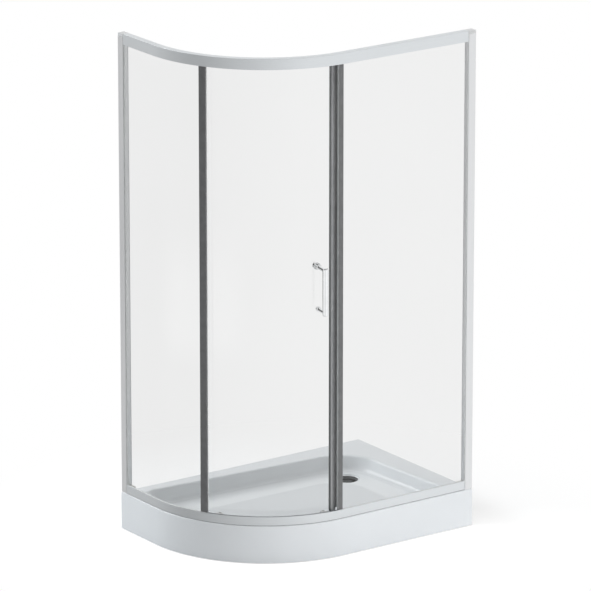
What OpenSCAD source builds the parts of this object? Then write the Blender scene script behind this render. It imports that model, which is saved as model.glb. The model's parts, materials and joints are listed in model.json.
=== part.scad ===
/* [Tray] */
// Length of the tray along the long wall
tray_l = 1200; // [1150:10:1300]
// Width of the tray along the short wall
tray_w = 800; // [790:10:900]
// Radius of the curved front corner
tray_r = 550; // [530:5:560]
// Height of the tray rim above the floor
tray_h = 160; // [155:1:190]
// Thickness of the moulded acrylic shell
acrylic_t = 5; // [4:0.5:6]
// Gap between the foot of the skirt and the floor
skirt_gap = 3; // [2:0.5:6]
// Depth of the down-turned lip along the walls
lip_h = 30; // [24:1:36]
// Width of the rim in front of the basin
rim_front = 66; // [60:1:75]
// Width of the rim at the right wall, near its front end
rim_right_front = 88; // [80:1:95]
// Width of the rim at the right wall, near the back corner
rim_right_back = 113; // [100:1:120]
// Width of the rim at the back wall, near the right corner
rim_back_right = 110; // [100:1:120]
// Width of the rim at the back wall, near its left end
rim_back_left = 58; // [54:1:80]
// Corner radius of the basin at its front right and back left
basin_r_small = 60; // [50:1:75]
// Corner radius of the basin at its back right
basin_r_large = 175; // [140:5:200]
// Depth from the rim down to the edge of the basin floor
basin_depth = 52; // [45:1:56]
// How far the basin wall leans in on its way down
basin_lean = 27; // [20:1:32]
// Fall of the sloped floor band
floor_fall = 6; // [3:0.5:8]
// Width of the sloped floor band
floor_band = 130; // [110:5:140]
// Radius of the waste hole
drain_r = 45; // [40:1:47]
// Distance of the waste hole from the right wall
drain_from_right = 250; // [240:5:260]
// Distance of the waste hole from the back wall
drain_from_back = 265; // [255:5:275]
// Length of the collar around the waste hole
collar_h = 20; // [16:1:22]
// Width of the flat seat around the waste hole
drain_seat_w = 7; // [4:1:9]

/* [Tray support] */
// Thickness of the board under the basin
board_t = 12; // [10:1:15]
// Outside width of the square frame tube
tube_w = 25; // [22:1:28]
// Wall of the square frame tube
tube_wall = 2; // [1.5:0.5:2.5]
// Radius of the threaded leg stud
stud_r = 5; // [4:0.5:6]
// Radius of the foot pad
pad_r = 25; // [20:1:30]
// Height of the foot pad disc
pad_h = 6; // [5:0.5:8]
// Across-corners radius of a leg nut
nut_r = 9.8; // [9:0.1:11]
// Height of a leg nut
nut_h = 8; // [6:0.5:9]
// Radius of a frame screw
frame_screw_r = 2; // [1.5:0.25:2.5]
// Width of a wall hook
hook_w = 40; // [30:1:50]
// Thickness of the sheet that the wall hooks are bent from
hook_t = 2.2; // [1.5:0.1:2.5]
// Radius of the screw hole in a wall hook
hook_hole_r = 3.5; // [2.5:0.25:4]

/* [Enclosure frame] */
// Height of the enclosure above the tray rim
frame_h = 1940; // [1850:10:1990]
// Setback of the frame from the edge of the tray
frame_inset = 4; // [3:0.5:8]
// Depth of the rails and width of the wall profiles
rail_d = 30; // [30:0.5:33]
// Height of the top rail
top_rail_h = 44; // [42:0.5:50]
// Height of the bottom rail
bottom_rail_h = 38; // [36:0.5:39.5]
// Wall thickness of the rail extrusion
rail_wall = 2; // [1.8:0.1:2.2]
// Height of the lip that keeps the wheels on the rail
lip_rise = 5; // [4:0.5:5.5]
// Drop of the upper lip of the top rail
upper_lip = 9; // [6:0.5:12]
// Depth of the wall profile, off the wall
wall_d = 35; // [33:0.5:40]
// Wall thickness of the wall profile
wall_t = 1.6; // [1.4:0.1:1.8]
// Wall thickness of the jamb that slides in the wall profile
jamb_t = 1.5; // [1.2:0.1:1.8]
// Height of the plastic cap on a wall profile
cap_h = 14; // [10:1:18]
// Radius of the screw holes in the wall profiles
wall_hole_r = 3; // [2.5:0.25:3.5]
// Distance between the screw holes in a wall profile
wall_hole_gap = 780; // [700:10:820]
// Radius of the small frame screws
screw_r = 2; // [1.5:0.25:2.25]
// Radius of the heads of the small frame screws
screw_head_r = 4; // [3:0.25:4.5]
// Length of the blocks in the rail ends
end_block_l = 30; // [24:1:34]

/* [Glass and seals] */
// Thickness of all glass
glass_t = 6; // [5:0.5:6.5]
// Depth of the fixed glass plane behind the rail face
glass_set = 5; // [4.5:0.25:5.5]
// Depth of the door glass plane behind the rail face
door_set = 35; // [35:0.25:37]
// Height of the blocks that the fixed glass stands on
block_h = 6; // [4:0.5:8]
// Reach of the fixed glass into the top rail
glass_reach = 26; // [20:1:34]
// Arc where the left fixed glass ends, from the left tangent
left_end_a = 28.6; // [27:0.1:29.5]
// Distance of the right fixed glass edge from the right tangent, on the curved side
right_edge_x = 21.4; // [20:0.2:23]
// Width of the edge profiles on the fixed glass
edge_w = 30; // [26:1:32]
// Width of the seal fins
fin_t = 1.5; // [1:0.1:2]

/* [Door] */
// Arc where the door glass starts, from the left tangent
door_a0 = 25.3; // [24.6:0.1:26]
// Arc where the door glass ends, from the left tangent
door_a1 = 87.5; // [87:0.1:87.6]
// Gap between the tray rim and the door glass
door_gap_low = 8; // [5:0.5:9]
// Gap between the top of the rail and the door glass
door_gap_high = 14; // [11:0.5:17]
// Width of the closing profile
close_w = 26; // [22:1:28]
// Width of a magnet strip
magnet_w = 5; // [4:0.5:5.5]
// Arc of the two roller positions, from the left tangent
roller_a = [33.5, 82];
// Radius of a top wheel
top_wheel_r = 11; // [9:0.5:11.5]
// Radius of a bottom wheel
bottom_wheel_r = 10; // [9:0.5:10.5]
// Width of the wheels
wheel_w = 6; // [5:0.25:6.25]
// Radius of the wheel axles
axle_r = 3; // [2.5:0.25:3.5]
// Distance between the two wheels of a hanger
wheel_pitch = 29; // [26:0.5:32]
// Radius of the roller holes in the door glass
roller_hole_r = 8; // [7.5:0.25:9]
// Eccentric offset of the hanger bolt
eccentric = 3; // [1:0.5:3]
// Radius of the eccentric stem through a hanger plate
stem_r = 4; // [3:0.25:4.5]
// Travel of the spring release of a bottom carrier
release_travel = 7; // [6.5:0.25:7]
// Radius of the release pin
pin_r = 2.5; // [2:0.25:2.5]
// Radius of the release button
button_r = 6; // [5:0.25:7]
// Radius of the release spring
spring_r = 2; // [1.5:0.1:2.1]

/* [Handle] */
// Arc of the handle, from the left tangent
handle_a = 79.5; // [76:0.25:80]
// Height of the handle's middle above the floor
handle_z = 1136; // [1050:5:1200]
// Distance between the two standoffs
handle_pitch = 175; // [140:1:220]
// Radius of the handle bar
bar_r = 11; // [8:0.5:12]
// Distance of the bar's axis from the middle of the door glass
bar_reach = 66; // [58:1:70]
// How far the bar runs past each standoff
bar_over = 11; // [9:0.5:20]
// Radius of the standoffs
standoff_r = 8; // [6:0.5:9]
// Radius of the inner knob
knob_r = 15; // [12:0.5:17]
// Length of the inner knob
knob_l = 25; // [20:1:30]
// Radius of the inner cap
cap_r = 9; // [8:0.5:12]
// Radius of the handle studs
handle_stud_r = 3; // [2.5:0.25:3.5]

/* [Fits] */
// Running clearance of a wheel on its axle
run_fit = 0.05; // [0.03:0.01:0.08]
// Clearance of a screw, stud or axle in its hole
screw_fit = 0.1; // [0.05:0.05:0.2]
// Clearance between assembled pieces
slip = 0.3; // [0.2:0.05:0.4]
// Clearance between pieces that pass each other
pass_gap = 1; // [0.8:0.1:1.5]

/* [Hidden] */
$fn = 48;
big_fn = 240;
eps = 0.02;

// Colours
c_acrylic = [0.93, 0.94, 0.95];
c_alu = [0.80, 0.81, 0.82];
c_profile = [0.42, 0.43, 0.44];
c_glass = [0.86, 0.90, 0.90, 0.35];
c_chrome = [0.85, 0.86, 0.88];
c_steel = [0.62, 0.63, 0.65];
c_plastic = [0.88, 0.88, 0.88];
c_rubber = [0.25, 0.25, 0.26];
c_clear = [0.80, 0.83, 0.85, 0.6];
c_board = [0.62, 0.50, 0.36];

// Plan of the frame: the arc's centre, and the radius of the rail's outer face
arc_x = -tray_l / 2 + tray_r;
arc_y = -tray_w / 2 + tray_r;
rail_r = tray_r - frame_inset;
rail_x = -tray_l / 2 + frame_inset;
rail_y = -tray_w / 2 + frame_inset;
end_y = tray_w / 2 - wall_d;
end_x = tray_l / 2 - wall_d;

// Levels
top_z = tray_h + frame_h;
floor_edge_z = tray_h - basin_depth;
pan_z = floor_edge_z - floor_fall;
board_top = pan_z - acrylic_t;
tube_top = board_top - board_t;
tube_low = tube_top - tube_w;
bottom_rail_top = tray_h + bottom_rail_h;
top_rail_low = top_z - top_rail_h;
ledge_top = top_rail_low + rail_wall;
sill_top = tray_h + rail_wall;
glass_low = sill_top + block_h;
glass_high = top_rail_low + glass_reach;
strip_low = bottom_rail_top + pass_gap;
strip_high = top_rail_low - pass_gap;
door_low = tray_h + door_gap_low;
door_high = top_z - door_gap_high;

// Radii of the glass and of the wheel track
fixed_out_r = rail_r - glass_set;
fixed_in_r = fixed_out_r - glass_t;
channel_in = glass_set + glass_t + 2.2;
web_t = 1.8;
track_out_r = rail_r - channel_in - web_t;
door_out_r = rail_r - door_set;
door_in_r = door_out_r - glass_t;
door_mid_r = door_out_r - glass_t / 2;
wheel_out_r = track_out_r - 1.2;
wheel_in_r = wheel_out_r - wheel_w;
plate_t = 3;
plate_r = wheel_in_r - 2.3 - plate_t;
top_wheel_z = ledge_top + top_wheel_r + slip;
bottom_wheel_z = sill_top + bottom_wheel_r + slip;

// An arc length turned into degrees
function deg(mm, r) = mm / r * 180 / PI;
// The angle in the plan of an arc position counted from the left tangent
function plan_a(a) = 180 + a;

// Basin corners, each as x, y and radius
basin_corners = [
  [tray_l / 2 - rim_right_front - basin_r_small,
   -tray_w / 2 + rim_front + basin_r_small, basin_r_small],
  [tray_l / 2 - rim_right_back - basin_r_large,
   tray_w / 2 - rim_back_right - basin_r_large, basin_r_large],
  [-tray_l / 2 + rim_front + basin_r_small,
   tray_w / 2 - rim_back_left - basin_r_small, basin_r_small]
];
pan_inset = basin_lean + floor_band;
pan_r = 28;
pan_r_large = basin_r_large - basin_lean;
pan_corners = [
  [tray_l / 2 - rim_right_back - pan_inset - pan_r + 8,
   -tray_w / 2 + rim_front + pan_inset + pan_r, pan_r],
  [tray_l / 2 - rim_right_back - pan_inset - pan_r_large + 8,
   tray_w / 2 - rim_back_right - pan_inset - pan_r_large + 12, pan_r_large],
  [-tray_l / 2 + rim_front + pan_inset + pan_r,
   tray_w / 2 - rim_back_right - pan_inset - pan_r + 12, pan_r]
];
drain_x = tray_l / 2 - drain_from_right;
drain_y = tray_w / 2 - drain_from_back;
collar_low = pan_z - collar_h;

// Support frame: the long tubes' y, the cross tubes' x, and the legs
frame_ys = [-180, 215];
frame_xs = [-290, 0, 450];
frame_x_ends = [-460, 530];
frame_y_ends = [-300, 345];
leg_spots = [[-290, -275], [-290, 320], [0, -275], [0, 0], [450, -275], [450, 320],
             [-435, 215]];
board_x = [-340, 480];
board_y = [-235, 250];
screw_spots = [[-200, -180], [150, -180], [400, -180], [-200, 215], [150, 215], [400, 215]];
frame_screw_in = 8;
hook_xs = [-200, 400];
hook_ys = [-150, 150];
hook_drop = 60;

// Wall profile section: the glass slot and the chamber of the jamb
jamb_u0 = wall_t + slip / 2;
jamb_u1 = rail_d - wall_t - slip / 2;
slot_u0 = jamb_u0 + jamb_t;
slot_u1 = glass_set + glass_t + (glass_set - slot_u0);
chamber_u0 = slot_u1 + jamb_t;
chamber_u1 = jamb_u1 - jamb_t;
jamb_w0 = 8;
jamb_w1 = wall_d - 1;
glass_w = jamb_w0 + jamb_t + 3;
wall_hole_u = (chamber_u0 + chamber_u1) / 2;
profile_top = top_z - cap_h;
frame_mid_z = (tray_h + top_z) / 2;
jamb_screw_zs = [frame_mid_z - 830, frame_mid_z, frame_mid_z + 830];
jamb_screw_w = (jamb_w0 + jamb_w1) / 2;
head_t = 2.5;
end_screw_z_low = tray_h + 12;
end_screw_z_high = top_z - 22;
block_u0 = channel_in + web_t + slip;
block_u1 = rail_d - rail_wall - slip;

// Door, from the left tangent
close_a1 = door_a1 + deg(6, door_mid_r);
close_a0 = close_a1 - deg(close_w, door_mid_r);
close_in_r = door_in_r - 4.5;
close_out_r = door_out_r + 3;
bead_h = 1;
magnet_a0 = close_a1;
magnet_a1 = magnet_a0 + deg(magnet_w, door_mid_r);
fixed_magnet_a0 = magnet_a1 + deg(pass_gap, door_mid_r);
fixed_magnet_a1 = fixed_magnet_a0 + deg(magnet_w, door_mid_r);
magnet_in_r = door_in_r - 2;
magnet_out_r = door_out_r + 2;
leg_x1 = arc_x - door_mid_r * sin(90 - fixed_magnet_a1);
leg_t = 3;
edge_x = arc_x - right_edge_x;
left_profile_a1 = left_end_a + deg(5, rail_r);
left_profile_a0 = left_profile_a1 - deg(edge_w, rail_r);
profile_out_r = rail_r - rail_wall - slip * 2;
profile_in_r = rail_r - channel_in + slip;
profile_out_y = arc_y - profile_out_r;
profile_in_y = arc_y - profile_in_r;
rear_fin_a = left_end_a - deg(8, door_mid_r);
rear_seal_t = 1.5;
rear_fin_out_r = door_out_r + 14;
fixed_fin_in_r = rear_fin_out_r - 6;

// Rollers
washer_t = 1;
washer_gap = 0.1;
flange_r0 = door_out_r + washer_gap * 2 + washer_t;
flange_t = 2;
bolt_boss_r = roller_hole_r - 0.2;
bolt_flange_r = roller_hole_r + 3;
hanger_z = top_wheel_z + 1;
stem_z = hanger_z + eccentric;
plate_low = ledge_top + lip_rise + pass_gap;
plate_high = plate_low + 18;
plate_half_a = deg(wheel_pitch / 2 + 10.5, plate_r);
wheel_half_a = deg(wheel_pitch / 2, wheel_in_r);
axle_head_r = axle_r + 1.5;
carrier_half = 13;
housing_low = tray_h + 14;
housing_high = housing_low + 19;
housing_r0 = door_out_r + slip;
housing_r1 = wheel_in_r - 1.5;
slider_t = 4;
slider_half = 9.5;
slider_r0 = housing_r1 - 1.5 - slip - slider_t;
slider_low = sill_top + lip_rise + 1;
slider_high = housing_low + 10;
pocket_high = housing_high - 2;
pin_z = slider_high - 4;
carrier_z = pin_z + release_travel / 2;
spring_s = 5.3;
notch_w = spring_r * 2 + 0.6;
notch_low = bottom_wheel_z + axle_r + 0.7;
ring_r = roller_hole_r + 3;
ring_r0 = door_in_r - slip - 3.6;
boss_r0 = ring_r0 - 0.5;
button_out = boss_r0 - pass_gap;
button_l = 6;

// Where the first top wheel stands when the door is fully open
open_a = 39;
stop_y = arc_y + track_out_r * sin(open_a - roller_a[0] + wheel_half_a) + top_wheel_r + 2;
stop_l = 14;

// Handle
handle_zs = [handle_z - handle_pitch / 2, handle_z + handle_pitch / 2];
bar_axis_r = door_mid_r + bar_reach;
handle_hole_r = handle_stud_r + 2;
handle_in_r = door_in_r - washer_gap * 2 - washer_t;

// The tray's plan, set in by i at the front and left and by w at the walls
module plan(i, w) {
  translate([arc_x, -tray_w / 2 + i])
    square([tray_l / 2 - w - arc_x, tray_w - i - w]);
  translate([-tray_l / 2 + i, arc_y])
    square([arc_x + tray_l / 2 - i + eps, tray_w / 2 - w - arc_y]);
  intersection() {
    translate([arc_x, arc_y]) circle(r = tray_r - i, $fn = big_fn);
    translate([arc_x - tray_r, arc_y - tray_r]) square(tray_r + eps);
  }
}

// The basin's outline at one level, as thin discs for a hull
module basin_level(corners, i, arc_in, z) {
  for (c = corners) translate([c[0], c[1], z]) cylinder(r = c[2] - i, h = eps, $fn = 64);
  intersection() {
    translate([arc_x, arc_y, z]) cylinder(r = tray_r - arc_in, h = eps, $fn = 160);
    translate([arc_x - tray_r, arc_y - tray_r, z - 1]) cube([tray_r, tray_r, 2]);
  }
}

// The basin's hollow, grown by g on every side
module basin_hollow(g, over) {
  hull() {
    basin_level(basin_corners, -g, rim_front - g, tray_h - g + over);
    basin_level(basin_corners, basin_lean - g, rim_front + basin_lean - g,
                floor_edge_z - g);
  }
  hull() {
    basin_level(basin_corners, basin_lean - g, rim_front + basin_lean - g,
                floor_edge_z - g);
    basin_level(pan_corners, 0, rim_front + pan_inset, pan_z - g);
  }
}

module tray_shell() {
  color(c_acrylic) difference() {
    union() {
      translate([0, 0, tray_h - acrylic_t]) linear_extrude(acrylic_t) plan(0, 0);
      translate([0, 0, skirt_gap]) linear_extrude(tray_h - skirt_gap) difference() {
        plan(0, 0);
        plan(acrylic_t, -1);
      }
      translate([0, 0, tray_h - lip_h]) linear_extrude(lip_h) difference() {
        plan(0, 0);
        plan(acrylic_t, acrylic_t);
      }
      basin_hollow(acrylic_t, 0);
      translate([drain_x, drain_y, collar_low])
        cylinder(r = drain_r + acrylic_t, h = collar_h - 1, $fn = 96);
    }
    basin_hollow(0, eps);
    translate([drain_x, drain_y, pan_z])
      cylinder(r = drain_r + drain_seat_w, h = basin_depth, $fn = 96);
    translate([drain_x, drain_y, collar_low - 1])
      cylinder(r = drain_r, h = collar_h + basin_depth, $fn = 96);
  }
}

module base_board() {
  color(c_board) difference() {
    translate([board_x[0], board_y[0], tube_top])
      cube([board_x[1] - board_x[0], board_y[1] - board_y[0], board_t]);
    translate([drain_x, drain_y, tube_top - 1])
      cylinder(r = drain_r + acrylic_t + 8, h = board_t + 2, $fn = 96);
    for (p = screw_spots) translate([p[0], p[1], tube_top - 1])
      cylinder(r = frame_screw_r + screw_fit, h = frame_screw_in + 1.5);
  }
}

// All the frame tubes, thinned by t on every side and longer by e at each end
module tube_boxes(t, e) {
  for (y = frame_ys)
    translate([frame_x_ends[0] - e, y - tube_w / 2 + t, tube_low + t])
      cube([frame_x_ends[1] - frame_x_ends[0] + 2 * e, tube_w - 2 * t, tube_w - 2 * t]);
  for (x = frame_xs)
    translate([x - tube_w / 2 + t, frame_y_ends[0] - e, tube_low + t])
      cube([tube_w - 2 * t, frame_y_ends[1] - frame_y_ends[0] + 2 * e, tube_w - 2 * t]);
}

module frame_tubes() {
  color(c_steel) difference() {
    tube_boxes(0, 0);
    tube_boxes(tube_wall, 1);
    for (p = leg_spots) translate([p[0], p[1], tube_low - 1])
      cylinder(r = stud_r + slip, h = tube_wall + 2);
    for (p = screw_spots) translate([p[0], p[1], tube_low - 1])
      cylinder(r = frame_screw_r + screw_fit, h = tube_w + 2);
  }
}

module leg_studs() {
  color(c_steel) for (p = leg_spots) translate([p[0], p[1], pad_h - 2])
    cylinder(r = stud_r, h = tube_top - tube_wall - 4 - pad_h);
}

module leg_nuts() {
  color(c_steel) for (p = leg_spots, z = [tube_low - nut_h, pad_h + 8])
    translate([p[0], p[1], z]) difference() {
      cylinder(r = nut_r, h = nut_h, $fn = 6);
      translate([0, 0, -1]) cylinder(r = stud_r + run_fit, h = nut_h + 2);
    }
}

module leg_pads() {
  color(c_rubber) for (p = leg_spots) translate([p[0], p[1], 0]) difference() {
    union() {
      cylinder(r = pad_r, h = pad_h);
      cylinder(r = stud_r + 4, h = pad_h + 8);
    }
    translate([0, 0, pad_h - 2]) cylinder(r = stud_r + run_fit, h = 12);
  }
}

module frame_screws() {
  color(c_steel) for (p = screw_spots) translate([p[0], p[1], tube_low - head_t]) {
    cylinder(r = frame_screw_r * 2, h = head_t);
    cylinder(r = frame_screw_r, h = head_t + tube_w + frame_screw_in);
  }
}

// A wall hook with its wall face on y = 0 and its cradle's floor under z = 0
module hook() {
  difference() {
    union() {
      translate([-hook_w / 2, -hook_t, -hook_drop]) cube([hook_w, hook_t, hook_drop - slip]);
      translate([-hook_w / 2, -acrylic_t - slip - hook_t, -slip - hook_t])
        cube([hook_w, acrylic_t + slip + hook_t, hook_t]);
      translate([-hook_w / 2, -acrylic_t - slip - hook_t, -slip - hook_t])
        cube([hook_w, hook_t, lip_h / 2 + slip + hook_t]);
    }
    translate([0, 1, -hook_drop / 2]) rotate([90, 0, 0])
      cylinder(r = hook_hole_r, h = hook_t + 2);
  }
}

module wall_hooks() {
  color(c_steel) {
    for (x = hook_xs) translate([x, tray_w / 2, tray_h - lip_h]) hook();
    for (y = hook_ys) translate([tray_l / 2, y, tray_h - lip_h]) rotate([0, 0, -90]) hook();
  }
}

// Puts a section drawn as (in from the rail face, out from the wall) at one wall
module at_left_wall() {
  translate([rail_x, tray_w / 2, 0]) mirror([0, 1, 0]) children();
}

module at_right_wall() {
  translate([tray_l / 2, rail_y, 0]) rotate([0, 0, 90]) children();
}

module wall_profile() {
  difference() {
    translate([0, 0, tray_h]) cube([rail_d, wall_d, profile_top - tray_h]);
    translate([wall_t, wall_t, tray_h - 1])
      cube([rail_d - 2 * wall_t, wall_d, profile_top - tray_h + 2]);
    for (k = [-1, 0, 1]) translate([wall_hole_u, -1, frame_mid_z + k * wall_hole_gap])
      rotate([-90, 0, 0]) cylinder(r = wall_hole_r, h = wall_t + 2);
    for (z = jamb_screw_zs) translate([rail_d - wall_t - 1, jamb_screw_w, z])
      rotate([0, 90, 0]) cylinder(r = screw_r + screw_fit, h = wall_t + 2);
  }
}

module wall_profile_left() { color(c_alu) at_left_wall() wall_profile(); }
module wall_profile_right() { color(c_alu) at_right_wall() wall_profile(); }

// The jamb: a slot for the glass beside a closed chamber for the screws
module jamb() {
  difference() {
    translate([jamb_u0, jamb_w0, tray_h])
      cube([jamb_u1 - jamb_u0, jamb_w1 - jamb_w0, profile_top - tray_h]);
    translate([slot_u0, jamb_w0 + jamb_t, tray_h - 1])
      cube([slot_u1 - slot_u0, wall_d, profile_top - tray_h + 2]);
    translate([chamber_u0, jamb_w0 + jamb_t, tray_h - 1])
      cube([chamber_u1 - chamber_u0, jamb_w1 - jamb_w0 - 2 * jamb_t,
            profile_top - tray_h + 2]);
    for (z = jamb_screw_zs) translate([chamber_u1 - 1, jamb_screw_w, z])
      rotate([0, 90, 0]) cylinder(r = screw_r + screw_fit, h = jamb_t + 2);
    for (z = [end_screw_z_low, end_screw_z_high])
      translate([wall_hole_u, jamb_w1 - jamb_t - 1, z])
        rotate([-90, 0, 0]) cylinder(r = screw_r + screw_fit, h = jamb_t + 2);
  }
}

module jamb_left() { color(c_alu) at_left_wall() jamb(); }
module jamb_right() { color(c_alu) at_right_wall() jamb(); }

// A cap that closes the wall profile, with a short plug down its back
module profile_cap() {
  translate([0, 0, profile_top]) cube([rail_d, wall_d, cap_h]);
  translate([wall_t + slip, wall_t + slip, profile_top - 10])
    cube([rail_d - 2 * wall_t - 2 * slip, jamb_w0 - wall_t - 2 * slip, 10 + eps]);
}

module wall_profile_caps() {
  color(c_plastic) {
    at_left_wall() profile_cap();
    at_right_wall() profile_cap();
  }
}

module jamb_screw_set() {
  for (z = jamb_screw_zs) translate([0, jamb_screw_w, z]) rotate([0, 90, 0]) {
    translate([0, 0, chamber_u1 - 3]) cylinder(r = screw_r, h = rail_d - chamber_u1 + 3);
    translate([0, 0, rail_d]) cylinder(r = screw_head_r, h = head_t);
  }
}

module jamb_screws() {
  color(c_steel) {
    at_left_wall() jamb_screw_set();
    at_right_wall() jamb_screw_set();
  }
}

module jamb_cap_set() {
  for (z = jamb_screw_zs) translate([rail_d, jamb_screw_w, z]) rotate([0, 90, 0])
    difference() {
      cylinder(r = screw_head_r + 1.5, h = head_t + 1.5);
      translate([0, 0, -1]) cylinder(r = screw_head_r + screw_fit, h = head_t + 1 + screw_fit);
    }
}

module jamb_screw_caps() {
  color(c_plastic) {
    at_left_wall() jamb_cap_set();
    at_right_wall() jamb_cap_set();
  }
}

// Sweeps a section drawn as (in from the rail face, up) along the whole rail
module rail_sweep() {
  translate([arc_x, arc_y, 0]) rotate([0, 0, 180]) rotate_extrude(angle = 90, $fn = big_fn)
    translate([rail_r, 0]) mirror([1, 0]) children();
  translate([rail_x, end_y, 0]) rotate([90, 0, 0])
    linear_extrude(end_y - arc_y + eps) children();
  translate([arc_x - eps, rail_y, 0]) rotate([90, 0, 90])
    linear_extrude(end_x - arc_x + eps) children();
}

module box_2d(x0, x1, y0, y1) {
  translate([x0, y0]) square([x1 - x0, y1 - y0]);
}

module bottom_rail() {
  color(c_alu) rail_sweep() {
    box_2d(0, rail_wall, tray_h, bottom_rail_top);
    box_2d(0, rail_d, tray_h, sill_top);
    box_2d(channel_in, channel_in + web_t, tray_h, bottom_rail_top - 2);
    box_2d(rail_d - rail_wall, rail_d, tray_h, sill_top + lip_rise);
  }
}

module top_rail() {
  color(c_alu) rail_sweep() {
    box_2d(0, rail_wall, top_rail_low, top_z);
    box_2d(0, rail_d, top_z - rail_wall, top_z);
    box_2d(channel_in, channel_in + web_t, top_rail_low, top_z);
    box_2d(channel_in, rail_d, top_rail_low, ledge_top);
    box_2d(rail_d - rail_wall, rail_d, top_rail_low, ledge_top + lip_rise);
    box_2d(rail_d - rail_wall, rail_d, top_z - upper_lip, top_z);
  }
}

// The block in one rail end, with the hole for its screw
module end_block(z0, z1, screw_z) {
  difference() {
    translate([block_u0, wall_d + slip, z0])
      cube([block_u1 - block_u0, end_block_l, z1 - z0]);
    translate([wall_hole_u, wall_d, screw_z]) rotate([-90, 0, 0])
      cylinder(r = screw_r + screw_fit, h = 18 + screw_fit);
  }
}

module end_block_pair() {
  end_block(sill_top + slip, bottom_rail_top - 4, end_screw_z_low);
  end_block(ledge_top + slip, top_z - rail_wall - slip, end_screw_z_high);
}

module rail_end_blocks() {
  color(c_plastic) {
    at_left_wall() end_block_pair();
    at_right_wall() end_block_pair();
  }
}

module end_screw_pair() {
  for (z = [end_screw_z_low, end_screw_z_high])
    translate([wall_hole_u, jamb_w1 - jamb_t - head_t, z]) rotate([-90, 0, 0]) {
      cylinder(r = screw_head_r, h = head_t);
      cylinder(r = screw_r, h = head_t + jamb_t + 1 + 18 - slip);
    }
}

module rail_end_screws() {
  color(c_steel) {
    at_left_wall() end_screw_pair();
    at_right_wall() end_screw_pair();
  }
}

// A curved block between two radii, two levels and two arc positions
module arc_block(r0, r1, z0, z1, a0, a1) {
  translate([arc_x, arc_y, z0]) rotate([0, 0, plan_a(a0)])
    rotate_extrude(angle = a1 - a0, $fn = big_fn)
      translate([r0, 0]) square([r1 - r0, z1 - z0]);
}

// Puts children on the radial line at one arc position and level, z outwards
module on_radius(a, z) {
  translate([arc_x, arc_y, z]) rotate([0, 0, plan_a(a)]) rotate([0, 90, 0]) children();
}

module radial_rod(r, r0, r1) {
  translate([0, 0, r0]) cylinder(r = r, h = r1 - r0);
}

module radial_ring(r_out, r_in, r0, r1) {
  difference() {
    radial_rod(r_out, r0, r1);
    radial_rod(r_in, r0 - 1, r1 + 1);
  }
}

module fixed_glass_left() {
  color(c_glass) {
    arc_block(fixed_in_r, fixed_out_r, glass_low, glass_high, 0, left_end_a);
    translate([rail_x + glass_set, arc_y - eps, glass_low])
      cube([glass_t, tray_w / 2 - glass_w - arc_y, glass_high - glass_low]);
  }
}

module fixed_glass_right() {
  color(c_glass) translate([edge_x, rail_y + glass_set, glass_low])
    cube([tray_l / 2 - glass_w - edge_x, glass_t, glass_high - glass_low]);
}

module setting_blocks() {
  w = channel_in - rail_wall - 2 * slip;
  s = rail_wall + slip;
  color(c_plastic) {
    arc_block(rail_r - s - w, rail_r - s, sill_top, glass_low, 20, 23);
    translate([rail_x + s, arc_y + 120, sill_top]) cube([w, 30, block_h]);
    for (x = [arc_x + 100, end_x - 120]) translate([x, rail_y + s, sill_top])
      cube([30, w, block_h]);
  }
}

// The gasket around the glass edge in a jamb slot, from the sill to the top rail
module jamb_gasket() {
  difference() {
    translate([slot_u0, jamb_w0 + jamb_t + slip, bottom_rail_top])
      cube([slot_u1 - slot_u0, jamb_w1 - jamb_w0 - jamb_t - slip,
            top_rail_low - bottom_rail_top]);
    translate([glass_set, glass_w, bottom_rail_top - 1])
      cube([glass_t, wall_d, top_rail_low - bottom_rail_top + 2]);
  }
}

module glazing_gasket_left() { color(c_rubber) at_left_wall() jamb_gasket(); }
module glazing_gasket_right() { color(c_rubber) at_right_wall() jamb_gasket(); }

// A strip in the rail's glass channel, along the left or the right fixed glass
module left_strip(s0, s1, z0, z1) {
  arc_block(rail_r - s1, rail_r - s0, z0, z1, 0, left_end_a);
  translate([rail_x + s0, arc_y - eps, z0]) cube([s1 - s0, end_y - arc_y, z1 - z0]);
}

module right_strip(s0, s1, z0, z1) {
  translate([arc_x, rail_y + s0, z0]) cube([end_x - arc_x, s1 - s0, z1 - z0]);
}

module rail_gaskets() {
  color(c_rubber) for (z = [[bottom_rail_top - 9, bottom_rail_top - 1],
                            [top_rail_low + 1, top_rail_low + 9]]) {
    left_strip(rail_wall, glass_set, z[0], z[1]);
    left_strip(glass_set + glass_t, channel_in, z[0], z[1]);
    right_strip(rail_wall, glass_set, z[0], z[1]);
    right_strip(glass_set + glass_t, channel_in, z[0], z[1]);
  }
}

module edge_profile_left() {
  color(c_profile) difference() {
    arc_block(profile_in_r, profile_out_r, strip_low, strip_high,
              left_profile_a0, left_profile_a1);
    arc_block(fixed_in_r - slip, fixed_out_r + slip, strip_low - 1, strip_high + 1,
              left_profile_a0 - 1, left_end_a + deg(slip, rail_r));
  }
}

module edge_seal_left() {
  color(c_clear) arc_block(fixed_fin_in_r, profile_in_r - eps, strip_low, strip_high,
                           left_end_a - deg(fin_t, profile_in_r), left_end_a);
}

module edge_profile_right() {
  h = strip_high - strip_low;
  color(c_profile) difference() {
    union() {
      translate([edge_x - 3.5, profile_out_y, strip_low])
        cube([leg_x1 + leg_t - edge_x + 3.5, profile_in_y - profile_out_y, h]);
      translate([leg_x1 + eps, profile_in_y - 1, strip_low])
        cube([leg_t, arc_y - magnet_in_r - profile_in_y + 1, h]);
    }
    translate([edge_x - slip, rail_y + glass_set - slip, strip_low - 1])
      cube([edge_w * 2, glass_t + 2 * slip, h + 2]);
  }
}

module magnet_strip_fixed() {
  color(c_clear) arc_block(magnet_in_r, magnet_out_r, strip_low, strip_high,
                           fixed_magnet_a0, fixed_magnet_a1 - deg(0.2, door_mid_r));
}

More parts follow.
